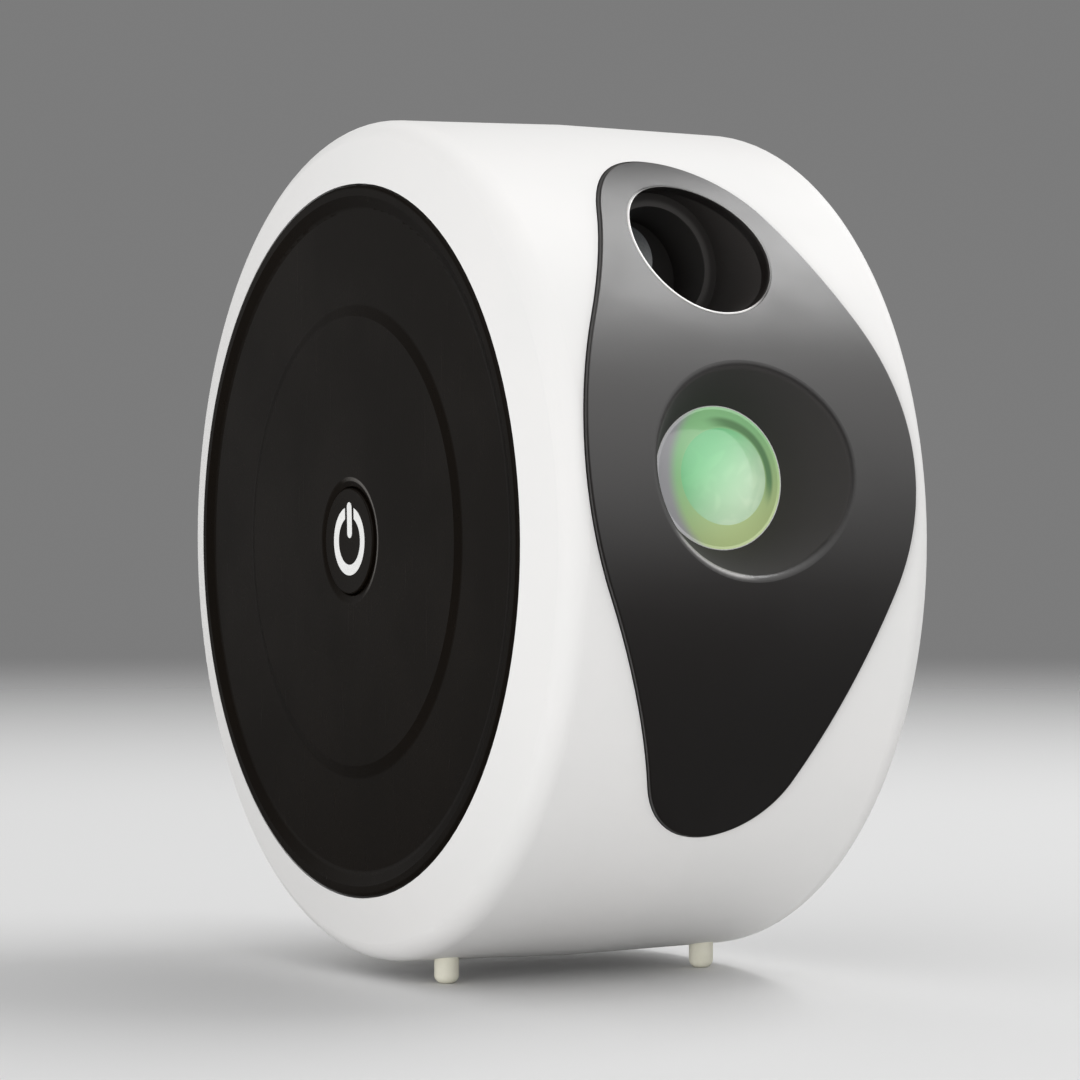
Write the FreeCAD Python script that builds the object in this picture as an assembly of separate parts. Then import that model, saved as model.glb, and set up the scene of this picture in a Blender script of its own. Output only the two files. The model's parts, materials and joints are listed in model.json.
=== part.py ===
import FreeCAD, Part
import math
import os
from FreeCAD import Placement, Rotation, Vector

# Drum-shaped laser and nebula projector, in millimetres and degrees.
# Most pieces are drawn in the drum's frame: the origin is on the drum axis at the middle seam,
# X runs along the axis, -Y is the front and +Z is up. The saved pieces stand on the floor.
# Optical pieces are drawn upright in the optics frame, with Z along the light and Y upwards.

os.makedirs("parts", exist_ok=True)

# Drum
barrel_radius = 72.0          # at the middle seam
drum_half_width = 33.5        # from the seam to the corner where the side face starts
shell_draft = 1.08            # taper of each half from the seam outwards
side_lean = 17.2              # slope of the side face
shoulder_round = 4.3
shell_wall = 2.4
seam_tongue = 1.5
seam_fit = 0.15

# Side caps
cap_margin = 11.6             # from the barrel's radius to the cap's
cap_fit = 0.15
cap_seat_depth = 2.0          # how deep the cap's flange sits in the shell
cap_seat_width = 7.9
cap_seat_wall = 2.5
cap_proud = 0.3
cap_edge_round = 0.8
cap_rim_width = 1.9
cap_rim_slope = 2.2
cap_dish = 0.8
cap_wall = 2.0
cap_skirt_fit = 0.2
cap_skirt_wall = 2.0
cap_bead = 0.9                # snap bead behind the seat
cap_bead_length = 1.4
plateau_radius = 38.2
plateau_height = 0.5
plateau_slope = 2.0
soft_round = 0.3

# Power button and its switch, on the left cap
button_radius = 9.0
button_fit = 0.2
button_proud = 0.2
button_lip_width = 1.5        # sloped edge of the cap around the button
button_lip_drop = 0.4
button_dimple = 0.2
button_flange = 1.8           # how far the flange reaches past the button
button_flange_thickness = 1.2
button_play = 0.1
button_travel = 0.6
button_stem_radius = 1.6
button_stem_length = 1.5
symbol_radius = 5.85
symbol_stroke = 1.8
symbol_gap = 0.75             # clear space on each side of the stroke
symbol_bar_low = 0.5
symbol_bar_high = 6.6
symbol_depth = 1.6
plunger_radius = 1.7
plunger_fit = 0.1
plunger_length = 1.9
plunger_show = 0.9
switch_size = 6.0
switch_height = 3.4
button_board_radius = 20.0
button_board_post_circle = 16.8
button_board_posts = 3
button_post_radius = 2.6
board_thickness = 1.6

# Front panel, a leaf outline in front view
leaf_port_margin = 3.3        # above the laser port
leaf_top_round = 17.5
leaf_half_width = 30.6
leaf_fullness = 0.77          # flank radius, as a share of the largest that meets both ends
leaf_bottom_margin = 24.0     # above the drum's lowest line
leaf_bottom_round = 14.7
panel_proud = 0.4
panel_depth = 1.8
panel_fit = 0.15
panel_ledge = 2.4
panel_ledge_wall = 2.2
panel_edge_round = 0.3

# Optics, seen along the light
optics_tilt = 8.0
laser_margin = 31.9           # from the drum's top line down to the laser axis
lens_setback = 11.7           # from the panel's face to the lens flange
lens_radius = 12.4
lens_lip = 0.6                # how far the panel overlaps the lens flange
lens_flange = 1.5
lens_bevel_radius = 7.9
lens_bevel_height = 1.5
lens_dome_height = 1.3
seal_thickness = 0.5
seal_width = 1.3
recess_radius = 18.2
recess_round = 1.3
funnel_wall = 2.0
lens_barrel_wall = 2.0
lens_fit = 0.05
lens_step = 1.6
ripple_glass_thickness = 2.0
ripple_glass_rise = 6.2       # in front of the wheel's shoulder
ripple_glass_step = 1.0
port_radius = 12.0
port_wall = 1.2
port_rim_chamfer = 0.4
port_step_depth = 5.0         # behind the nearest point of the port's rim
port_inner_radius = 9.8
port_floor_rise = 4.7         # in front of the wheel's shoulder
window_radius = 5.9
window_rise = 3.1             # of its middle above the laser axis
window_thickness = 1.2
window_step = 1.0             # ledge under the window at its lowest point

# Gear train and the two turning wheels
gear_module = 0.8
ripple_teeth = 45
pinion_teeth = 12
grating_teeth = 26
pressure_angle = 25.0
gear_addendum = 0.68
gear_dedendum = 0.92
gear_backlash = 0.16
gear_front = 30.0
gear_width = 2.0
flank_steps = 4
running_gap = 0.3
bearing_fit = 0.05
ripple_spigot_radius = 13.0
grating_spigot_radius = 7.0
collar_length = 2.0
collar_wall = 1.9
film_thickness = 0.8
film_inset = 0.4
spigot_inset = 0.6

# Chassis, lamp, motor and laser
chassis_thickness = 2.5
chassis_margin = 4.2
post_radius = 3.0
lower_post_x = 22.0
lower_post_drop = 10.1        # below the lens axis
upper_post_x = 19.0
upper_post_rise = 21.9        # above the lens axis
lamp_aperture_margin = 0.5    # around the condenser lens
beam_aperture = 3.5
reflector_length = 7.4
reflector_rim = 4.3           # around the condenser lens
reflector_wall = 1.8
reflector_bowl_depth = 1.6
reflector_bowl_flare = 2.0
condenser_radius = 10.5
condenser_rim = 1.5
condenser_seat = 1.5          # ledge of the bowl under the condenser lens
condenser_dome = 3.4
led_size = 2.2
led_height = 0.8
led_pitch = 3.0
sink_base = 3.0
sink_fin_length = 11.0
sink_fin_thickness = 1.2
sink_fin_pitch = 4.0
sink_fins = 6
sink_boss_radius = 3.0
sink_boss_gap = 0.4
lead_hole_radius = 1.4
motor_gap = 0.5               # between the motor and the reflector
motor_length = 15.0
motor_boss_radius = 3.0
motor_boss_length = 1.5
motor_ear_reach = 10.5
motor_ear_radius = 3.2
motor_ear_thickness = 1.2
shaft_radius = 1.0
shaft_depth = 11.0
laser_radius = 4.5
laser_length = 19.0
laser_setback = 0.5
collimator_radius = 3.0
collimator_thickness = 1.2
holder_half = 7.0
holder_length = 11.4
holder_screw_offset = 5.0

# Main board, socket and receiver
board_half_width = 25.0
board_front = 8.0
board_rise = 34.4             # board face above the drum's lowest line
board_wall_gap = 1.0
board_post_radius = 3.0
board_post_x = 20.0
board_front_inset = 5.0
board_rear_inset = 13.0
socket_x = 17.0
socket_width = 8.94
socket_height = 3.26
socket_length = 7.3
socket_wall = 0.3
socket_tongue_width = 6.7
socket_tongue_thickness = 0.7
socket_tongue_length = 4.5
socket_setback = 0.4
socket_fit = 0.3
socket_pocket_width = 13.0
socket_pocket_height = 7.5
socket_pocket_depth = 3.0
socket_block_wall = 2.4
chip_size = 10.0
chip_height = 1.2
chip_inset = 21.7             # from the board's rear edge, as for the other parts on it
coil_size = 7.0
coil_height = 4.0
coil_x = 2.0
coil_inset = 8.7
capacitor_radius = 4.0
capacitor_height = 11.0
capacitor_x = -13.0
capacitor_inset = 11.7
header_width = 6.0
header_depth = 4.5
header_height = 5.0
header_inset = 6.0            # from the board's front edge
header_pitch = 7.0
receiver_rise = 7.0           # above the panel's lowest point, on its face
receiver_board_width = 14.0
receiver_board_height = 8.0
receiver_gap = 9.0            # from the panel's back to the receiver board
receiver_board_thickness = 1.2
receiver_width = 5.6
receiver_height = 5.0
receiver_depth = 4.0
receiver_dome = 2.0
receiver_post_x = 5.0
receiver_post_radius = 1.9
lead_radius = 0.9
lead_run = 16.0               # straight way out of a piece before a lead bends
lead_rise = 13.0              # straight way up from a header
lead_reach = 0.45             # share of a run that an arc takes
lamp_lead_low = -15.0         # turning points of the leads between the straight ends
motor_lead_back = 20.0
motor_lead_low = 4.0
laser_lead_side = -5.0
laser_lead_back = 31.0
laser_lead_high = 20.0
laser_lead_low = -4.0
button_lead_back = 9.0
button_lead_low = -6.0
receiver_lead_side = 8.0
receiver_lead_front = -22.0
receiver_lead_low = -16.0
receiver_lead_back = -3.0

# Feet
foot_radius = 2.1
front_foot_x = 25.0
front_foot_y = -12.8
rear_foot_x = 12.0
rear_foot_y = 28.0
foot_drop = 2.5               # clear height under the drum
foot_tip_round = 1.4
foot_grip = 5.0
foot_fit = 0.05
foot_boss_wall = 2.1

# Screws and vents
screw_radius = 1.25
screw_fit = 0.05
screw_clearance = 0.3
screw_head_radius = 2.4
screw_head_height = 1.6
screw_bite = 7.0
small_screw_radius = 0.8
small_screw_head_radius = 1.5
small_screw_head_height = 1.0
small_screw_bite = 4.0
chassis_bite = 2.0            # of a small screw in the chassis plate
shell_screw_inset = 3.0       # inside the cap's edge
shell_screw_angles = (85.0, 150.0, 190.0, 285.0)
shell_boss_radius = 3.4
shell_screw_bite = 12.0
vent_first_angle = 162.0
vent_angle_step = 5.0
vent_rows = 5
vent_start = 6.0
vent_end = 24.0
vent_height = 2.0

# Places worked out from the values above
draft_slope = math.tan(math.radians(shell_draft))
lean_slope = math.tan(math.radians(side_lean))
shoulder_radius = barrel_radius - drum_half_width * draft_slope
cap_radius = barrel_radius - cap_margin
cap_edge_x = drum_half_width + (shoulder_radius - cap_radius) * lean_slope
cap_seat_x = cap_edge_x - cap_seat_depth
cap_rim_x = cap_edge_x + cap_proud
cap_field_x = cap_rim_x - cap_dish
cap_inner_x = cap_field_x - cap_wall
plateau_x = cap_field_x + plateau_height
opening_radius = cap_radius - cap_seat_width
shell_screw_circle = cap_radius - shell_screw_inset
skirt_radius = opening_radius - cap_skirt_fit
seat_inner_x = cap_seat_x - cap_seat_wall
skirt_end_x = seat_inner_x - cap_skirt_fit - cap_bead_length
panel_floor = barrel_radius - panel_depth
panel_surface = barrel_radius + panel_proud
vent_floor = barrel_radius - 2 * shell_wall
far = 2 * barrel_radius
same_place = 0.01

button_face_x = plateau_x + button_proud
button_flange_x = cap_inner_x - button_play
button_back_x = button_flange_x - button_flange_thickness
stem_end_x = button_back_x - button_stem_length
switch_top_x = stem_end_x - plunger_show
button_board_x = switch_top_x - switch_height

laser_y = barrel_radius - laser_margin
pinion_y = laser_y - gear_module * (pinion_teeth + grating_teeth) / 2
lens_axis_height = pinion_y - gear_module * (ripple_teeth + pinion_teeth) / 2
gear_back = gear_front - gear_width
wheel_shoulder = gear_front + running_gap
port_floor = wheel_shoulder + port_floor_rise
window_back = port_floor - window_thickness
window_y = laser_y + window_rise
beam_bore = window_radius - window_rise - window_step
port_step = math.sqrt(panel_surface ** 2 - (laser_y + port_radius) ** 2) - port_step_depth
ripple_glass_back = wheel_shoulder + ripple_glass_rise
collar_back = gear_back - collar_length
spigot_end = collar_back + spigot_inset
film_back = collar_back - film_thickness
reflector_radius = condenser_radius + reflector_rim
reflector_bowl_rim = condenser_radius - condenser_seat
reflector_bowl_radius = reflector_bowl_rim - reflector_bowl_flare
lamp_aperture = condenser_radius + lamp_aperture_margin
motor_radius = pinion_y - lens_axis_height - reflector_radius - motor_gap
chassis_front = film_back - running_gap
chassis_back = chassis_front - chassis_thickness
sink_front = chassis_back - reflector_length
led_front = sink_front + board_thickness
lens_barrel_radius = lens_radius + lens_barrel_wall
lens_edge = panel_surface - lens_setback
lens_back = lens_edge - lens_flange
lens_seat = lens_back - seal_thickness
sink_boss_x = reflector_radius + sink_boss_gap + sink_boss_radius
sink_back = sink_front - sink_base
holder_back = chassis_back - holder_length
lower_post_y = lens_axis_height - lower_post_drop
upper_post_y = lens_axis_height + upper_post_rise
motor_back = chassis_back - motor_length

board_top = board_rise - barrel_radius
board_bottom = board_top - board_thickness
board_reach = barrel_radius - shell_wall - board_half_width * draft_slope - board_wall_gap
board_rear = math.sqrt(board_reach ** 2 - board_bottom ** 2)
chip_y = board_rear - chip_inset
coil_y = board_rear - coil_inset
capacitor_y = board_rear - capacitor_inset
header_y = board_front + header_inset
socket_z = board_top + socket_height / 2
socket_pocket_floor = math.sqrt(barrel_radius ** 2 - socket_z ** 2) - socket_pocket_depth
receiver_board_radius = panel_floor - receiver_gap
drum_to_floor = Vector(0, panel_proud / 2, barrel_radius + foot_drop)
optics_place = Placement(Vector(), Rotation(Vector(1, 0, 0), 90 - optics_tilt))
chassis_posts = [
    (side * x, y)
    for side in (-1, 1)
    for x, y in ((lower_post_x, lower_post_y), (upper_post_x, upper_post_y))
]


def front_height(axis_height):
    """Height in front view where an optical axis meets the panel's face."""
    tilt = math.radians(optics_tilt)
    along = math.sqrt(panel_surface ** 2 - axis_height ** 2)
    return axis_height * math.cos(tilt) + along * math.sin(tilt)


def largest_flank(end_round, reach):
    """Largest flank circle of the leaf that can still meet an end circle at that distance."""
    total = leaf_half_width + end_round
    spare = leaf_half_width - end_round
    return (total + reach ** 2 / spare) / 2


leaf_top = front_height(laser_y) + port_radius + leaf_port_margin
leaf_widest = front_height(lens_axis_height)
leaf_bottom = barrel_radius - leaf_bottom_margin
leaf_side_round = leaf_fullness * min(
    largest_flank(leaf_top_round, leaf_top - leaf_top_round - leaf_widest),
    largest_flank(leaf_bottom_round, leaf_bottom - leaf_bottom_round + leaf_widest),
)
receiver_angle = -math.degrees(math.asin((leaf_bottom - receiver_rise) / panel_surface))
receiver_place = Placement(Vector(), Rotation(Vector(1, 0, 0), 90 - receiver_angle))


# Drawing helpers

def in_xz(across, up):
    return Vector(across, 0, up)


def in_xy(across, up):
    return Vector(across, up, 0)


def outline(corners, plane=in_xz):
    """Closed face through corners (across, up) or (across, up, round)."""
    points = [plane(*corner[:2]) for corner in corners]
    starts = []
    ends = []
    edges = []
    for index, corner in enumerate(corners):
        here = points[index]
        start = end = here
        if len(corner) == 3:
            before = (points[index - 1] - here).normalize()
            after = (points[(index + 1) % len(points)] - here).normalize()
            half_angle = before.getAngle(after) / 2
            reach = corner[2] / math.tan(half_angle)
            start = here + before * reach
            end = here + after * reach
            inward = corner[2] / math.sin(half_angle) - corner[2]
            middle = here + (before + after).normalize() * inward
            edges.append(Part.Arc(start, middle, end).toShape())
        starts.append(start)
        ends.append(end)
    for index, end in enumerate(ends):
        edges.append(Part.LineSegment(end, starts[(index + 1) % len(starts)]).toShape())
    return Part.Face(Part.Wire(Part.sortEdges(edges)[0]))


def turned_x(corners):
    """Solid of revolution about X from corners (x, radius)."""
    return outline(corners).revolve(Vector(), Vector(1, 0, 0), 360)


def turned_z(corners, y=0.0):
    """Solid of revolution about an upright axis at height y, from corners (radius, z)."""
    solid = outline(corners).revolve(Vector(), Vector(0, 0, 1), 360)
    return solid.translated(Vector(0, y, 0))


def rod_x(radius, x0, x1, y=0.0, z=0.0):
    return Part.makeCylinder(radius, x1 - x0, Vector(x0, y, z), Vector(1, 0, 0))


def rod_z(radius, z0, z1, x=0.0, y=0.0):
    return Part.makeCylinder(radius, z1 - z0, Vector(x, y, z0))


def block(x0, x1, y0, y1, z0, z1):
    return Part.makeBox(x1 - x0, y1 - y0, z1 - z0, Vector(x0, y0, z0))


def in_optics(shape):
    return shape.transformed(optics_place.toMatrix())


def in_receiver(shape):
    return shape.transformed(receiver_place.toMatrix())


def mirrored(shape):
    return shape.mirror(Vector(), Vector(1, 0, 0))


def around_drum(shape, angle):
    """Turn a shape drawn towards -Y up the front by the given angle about the drum axis."""
    return shape.rotated(Vector(), Vector(1, 0, 0), -angle)


def screw(radius, head_radius, head_height, length):
    """Pan-head screw, head above z = 0 and shank below."""
    head = rod_z(head_radius, 0, head_height)
    return head.fuse(rod_z(radius, -length, 0)).removeSplitter()


def save(name, *solids):
    shape = solids[0] if len(solids) == 1 else Part.makeCompound(list(solids))
    moved = shape.translated(drum_to_floor)
    moved.exportStep("parts/%s.step" % name)


# Leaf outline of the front panel

def tangent(top_center, top_round, low_center, low_round):
    """Right-hand tangent points between an upper and a lower circle, in front view."""
    across = low_center - top_center
    length = across.Length
    along = Vector(across) / length
    outward = Vector(-along.z, 0, along.x)
    lean = (top_round - low_round) / length
    normal = outward * math.sqrt(1 - lean * lean) + along * lean
    return top_center + normal * top_round, low_center + normal * low_round


def leaf_prism(grow):
    """Leaf outline, grown by an even margin, as a bar from the drum axis out to the front."""
    top = Vector(0, 0, leaf_top - leaf_top_round)
    side = Vector(leaf_half_width - leaf_side_round, 0, leaf_widest)
    bottom = Vector(0, 0, leaf_bottom_round - leaf_bottom)
    top_end, side_start = tangent(top, leaf_top_round + grow, side, leaf_side_round + grow)
    side_end, bottom_start = tangent(side, leaf_side_round + grow, bottom, leaf_bottom_round + grow)
    tip = Vector(0, 0, leaf_top + grow)
    bulge = Vector(leaf_half_width + grow, 0, leaf_widest)
    base = Vector(0, 0, -leaf_bottom - grow)

    def left(point):
        return Vector(-point.x, 0, point.z)

    edges = [
        Part.Arc(left(top_end), tip, top_end).toShape(),
        Part.LineSegment(top_end, side_start).toShape(),
        Part.Arc(side_start, bulge, side_end).toShape(),
        Part.LineSegment(side_end, bottom_start).toShape(),
        Part.Arc(bottom_start, base, left(bottom_start)).toShape(),
        Part.LineSegment(left(bottom_start), left(side_end)).toShape(),
        Part.Arc(left(side_end), left(bulge), left(side_start)).toShape(),
        Part.LineSegment(left(side_start), left(top_end)).toShape(),
    ]
    return Part.Face(Part.Wire(edges)).extrude(Vector(0, -far, 0))


# Shells

def shell_ring():
    """Right half of the drum's wall, from the seam to the cap's seat."""
    pocket = cap_radius + cap_fit
    pocket_x = drum_half_width + (shoulder_radius - pocket) * lean_slope
    side_wall = shell_wall / math.cos(math.radians(side_lean))
    seat_radius = shoulder_radius - (seat_inner_x + side_wall - drum_half_width) / lean_slope
    inner_seam = barrel_radius - shell_wall
    corner_x = drum_half_width - side_wall + (shoulder_radius - inner_seam) * lean_slope
    corner_x = corner_x / (1 - draft_slope * lean_slope)
    return turned_x([
        (0, barrel_radius),
        (drum_half_width, shoulder_radius, shoulder_round),
        (pocket_x, pocket),
        (cap_seat_x, pocket),
        (cap_seat_x, opening_radius),
        (seat_inner_x, opening_radius),
        (seat_inner_x, seat_radius),
        (corner_x, inner_seam - corner_x * draft_slope),
        (0, inner_seam),
    ])


def drum_solid():
    """Filled right half of the drum, used to trim what joins its wall."""
    return turned_x([
        (0, 0),
        (0, barrel_radius - shell_wall / 2),
        (drum_half_width, shoulder_radius - shell_wall / 2),
        (cap_seat_x, cap_radius),
        (cap_seat_x, 0),
    ])


def panel_ledge_ring():
    ring = rod_x(panel_floor, 0, cap_seat_x).cut(rod_x(panel_floor - panel_ledge_wall, 0, cap_seat_x))
    return leaf_prism(panel_ledge).common(ring).common(drum_solid())


def panel_cut():
    """Room for the panel in the wall, and for what passes inwards through it."""
    rebate = leaf_prism(0).cut(rod_x(panel_floor, -far, far))
    cut = rebate.fuse(leaf_prism(-panel_ledge))
    tube = rod_z(port_radius + port_wall + running_gap, chassis_front, far, 0, laser_y)
    cut = cut.fuse(in_optics(tube).common(rod_x(panel_floor, -far, far)))
    for x, y in chassis_posts:
        post = rod_z(post_radius + running_gap, chassis_front, far, x, y)
        cut = cut.fuse(in_optics(post).common(rod_x(panel_floor, -far, far)))
    return cut


def shell_screw_spots():
    for angle in shell_screw_angles:
        turn = math.radians(angle)
        yield -shell_screw_circle * math.cos(turn), shell_screw_circle * math.sin(turn)


def board_post_spots():
    for y in (board_front + board_front_inset, board_rear - board_rear_inset):
        yield board_post_x, y


def foot_spots():
    """Places of the two feet of one half, with the height of each foot's top in the wall."""
    for x, y in ((front_foot_x, front_foot_y), (rear_foot_x, rear_foot_y)):
        root = -math.sqrt((barrel_radius - x * draft_slope) ** 2 - y ** 2)
        yield x, y, root + foot_grip


def shell_half():
    """Right half with everything that both halves share, before its joint to the other half."""
    shell = shell_ring().fuse(panel_ledge_ring())
    inside = drum_solid()
    for y, z in shell_screw_spots():
        shell = shell.fuse(rod_x(shell_boss_radius, 0, cap_seat_x - cap_seat_wall / 2, y, z))
    for x, y in board_post_spots():
        post = rod_z(board_post_radius, -barrel_radius, board_bottom, x, y)
        shell = shell.fuse(post.common(inside))
    for x, y, top in foot_spots():
        boss = rod_z(foot_radius + foot_boss_wall, -barrel_radius, top + foot_boss_wall, x, y)
        shell = shell.fuse(boss.common(inside))
    for x, y in board_post_spots():
        shell = shell.cut(rod_z(screw_radius + screw_fit, board_bottom - screw_bite, board_bottom, x, y))
    for x, y, top in foot_spots():
        shell = shell.cut(rod_z(foot_radius + foot_fit, -far, top, x, y))
    for row in range(vent_rows):
        slot = block(vent_start, vent_end, -far, -vent_floor, -vent_height / 2, vent_height / 2)
        shell = shell.cut(around_drum(slot, vent_first_angle + row * vent_angle_step))
    return shell


def left_shell():
    middle = barrel_radius - shell_wall / 2
    tongue = rod_x(middle - seam_fit, -seam_tongue, seam_tongue)
    tongue = tongue.cut(rod_x(barrel_radius - shell_wall, -far, far))
    shell = shell_half().fuse(tongue.common(rod_x(far, -seam_tongue, shell_wall)))
    shell = shell.cut(panel_cut())
    for y, z in shell_screw_spots():
        shell = shell.cut(rod_x(screw_radius + screw_fit, 0, shell_screw_bite + shell_wall, y, z))
    return mirrored(shell.removeSplitter())


def right_shell():
    middle = barrel_radius - shell_wall / 2
    groove = rod_x(middle, 0, seam_tongue + seam_fit)
    groove = groove.cut(rod_x(barrel_radius - 2 * shell_wall, -far, far))
    block_half = socket_pocket_width / 2 + socket_block_wall
    block_rise = socket_pocket_height / 2 + socket_block_wall
    backing = block(
        socket_x - block_half, socket_x + block_half,
        socket_pocket_floor - socket_block_wall, far,
        socket_z - block_rise, socket_z + block_rise,
    )
    backing = backing.cut(block(
        -far, far, 0, board_rear + board_wall_gap, -far, board_top + board_wall_gap,
    ))
    shell = shell_half().fuse(backing.common(drum_solid()))
    shell = shell.cut(groove).cut(panel_cut())
    for y, z in shell_screw_spots():
        shell = shell.cut(rod_x(screw_radius + screw_clearance, 0, cap_seat_x, y, z))
        head_room = screw_head_radius + screw_clearance
        shell = shell.cut(rod_x(head_room, cap_seat_x - screw_head_height, cap_seat_x, y, z))
    shell = shell.cut(block(
        socket_x - socket_pocket_width / 2, socket_x + socket_pocket_width / 2,
        socket_pocket_floor, far,
        socket_z - socket_pocket_height / 2, socket_z + socket_pocket_height / 2,
    ))
    slot = stadium(socket_width + 2 * socket_fit, socket_height + 2 * socket_fit)
    slot = slot.extrude(Vector(0, far, 0)).translated(Vector(socket_x, opening_radius / 2, socket_z))
    shell = shell.cut(slot)
    return shell.removeSplitter()


# Side caps and the power button

def cap_profile():
    """Corners of a side cap from its rim to its skirt, on the right side."""
    dish_start = cap_radius - cap_rim_width
    bead_x = skirt_end_x + cap_bead_length
    return [
        (plateau_x, plateau_radius, soft_round),
        (cap_field_x, plateau_radius + plateau_slope, plateau_slope),
        (cap_field_x, dish_start - cap_rim_slope, cap_rim_slope),
        (cap_rim_x, dish_start, soft_round),
        (cap_rim_x, cap_radius, cap_edge_round),
        (cap_seat_x, cap_radius),
        (cap_seat_x, skirt_radius),
        (bead_x, skirt_radius),
        (bead_x, skirt_radius + cap_bead),
        (skirt_end_x, skirt_radius),
        (skirt_end_x, skirt_radius - cap_skirt_wall),
        (cap_inner_x, skirt_radius - cap_skirt_wall),
    ]


def right_cap():
    return turned_x([(cap_inner_x, 0), (plateau_x, 0)] + cap_profile())


def button_post_spots():
    for post in range(button_board_posts):
        turn = 2 * math.pi * post / button_board_posts
        yield button_board_post_circle * math.sin(turn), button_board_post_circle * math.cos(turn)


def left_cap():
    bore = button_radius + button_fit
    lip = [
        (cap_inner_x, bore),
        (plateau_x - button_lip_drop, bore, soft_round),
        (plateau_x, bore + button_lip_width, button_lip_width),
    ]
    cap = turned_x(lip + cap_profile())
    for y, z in button_post_spots():
        post = rod_x(button_post_radius, button_board_x, cap_inner_x, y, z)
        pilot = rod_x(
            small_screw_radius + screw_fit, button_board_x, button_board_x + small_screw_bite, y, z,
        )
        cap = cap.fuse(post).cut(pilot)
    return mirrored(cap.removeSplitter())


def button_solid():
    dimple_radius = (button_radius ** 2 + button_dimple ** 2) / (2 * button_dimple)
    solid = turned_x([
        (stem_end_x, 0),
        (button_face_x, 0),
        (button_face_x, button_radius, soft_round),
        (button_flange_x, button_radius),
        (button_flange_x, button_radius + button_flange),
        (button_back_x, button_radius + button_flange),
        (button_back_x, button_stem_radius),
        (stem_end_x, button_stem_radius),
    ])
    dish_center = Vector(button_face_x - button_dimple + dimple_radius, 0, 0)
    return solid.cut(Part.makeSphere(dimple_radius, dish_center))


def symbol_bar():
    """Power symbol as a bar along X: an open ring with a round-ended stroke in its gap."""
    low_x = button_face_x - symbol_depth
    half = symbol_stroke / 2
    gap = half + symbol_gap
    ring = rod_x(symbol_radius, low_x, button_face_x)
    ring = ring.cut(rod_x(symbol_radius - symbol_stroke, low_x, button_face_x))
    ring = ring.cut(block(low_x, button_face_x, -gap, gap, 0, far))
    stroke_ends = (symbol_bar_low + half, symbol_bar_high - half)
    stroke = block(low_x, button_face_x, -half, half, *stroke_ends)
    for z in stroke_ends:
        stroke = stroke.fuse(rod_x(half, low_x, button_face_x, 0, z))
    return ring, stroke.removeSplitter()


def power_button():
    ring, stroke = symbol_bar()
    return mirrored(button_solid().cut(ring).cut(stroke))


def power_symbol():
    return [mirrored(bar.common(button_solid())) for bar in symbol_bar()]


def switch_plunger():
    return mirrored(rod_x(plunger_radius, stem_end_x - plunger_length, stem_end_x))


def power_switch():
    half = switch_size / 2
    body = block(button_board_x, switch_top_x, -half, half, -half, half)
    well = stem_end_x - plunger_length - button_travel - plunger_fit
    return mirrored(body.cut(rod_x(plunger_radius + plunger_fit, well, switch_top_x)))


def button_board():
    board = rod_x(button_board_radius, button_board_x - board_thickness, button_board_x)
    for y, z in button_post_spots():
        hole = small_screw_radius + screw_fit
        board = board.cut(rod_x(hole, button_board_x - board_thickness, button_board_x, y, z))
    return mirrored(board)


def button_board_screws():
    seat = button_board_x - board_thickness
    length = board_thickness + small_screw_bite - screw_fit
    one = screw(small_screw_radius, small_screw_head_radius, small_screw_head_height, length)
    one = one.rotated(Vector(), Vector(0, 1, 0), -90)
    return [mirrored(one.translated(Vector(seat, y, z))) for y, z in button_post_spots()]


# Front panel with the lens recess and the laser port

def recess_cone(margin, top):
    """Bowl of the lens recess about the lens axis, grown by a margin and cut off at top."""
    low = lens_radius - lens_lip
    slope = (recess_radius - low) / (panel_surface - lens_edge)
    reach = low + (top - lens_edge) * slope
    return turned_z([
        (0, lens_edge),
        (low + margin, lens_edge),
        (reach + margin, top),
        (0, top),
    ], lens_axis_height)


def outer_edges(panel, axis_height, low, high):
    """Edges on the panel's outer face whose middle lies between two distances from an optical axis."""
    found = []
    for edge in panel.Edges:
        middle = edge.valueAt((edge.FirstParameter + edge.LastParameter) / 2)
        on_surface = abs(math.hypot(middle.y, middle.z) - panel_surface) < same_place
        spot = optics_place.inverse().multVec(middle)
        reach = math.hypot(spot.x, spot.y - axis_height)
        if on_surface and low < reach < high:
            found.append(edge)
    return found


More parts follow.
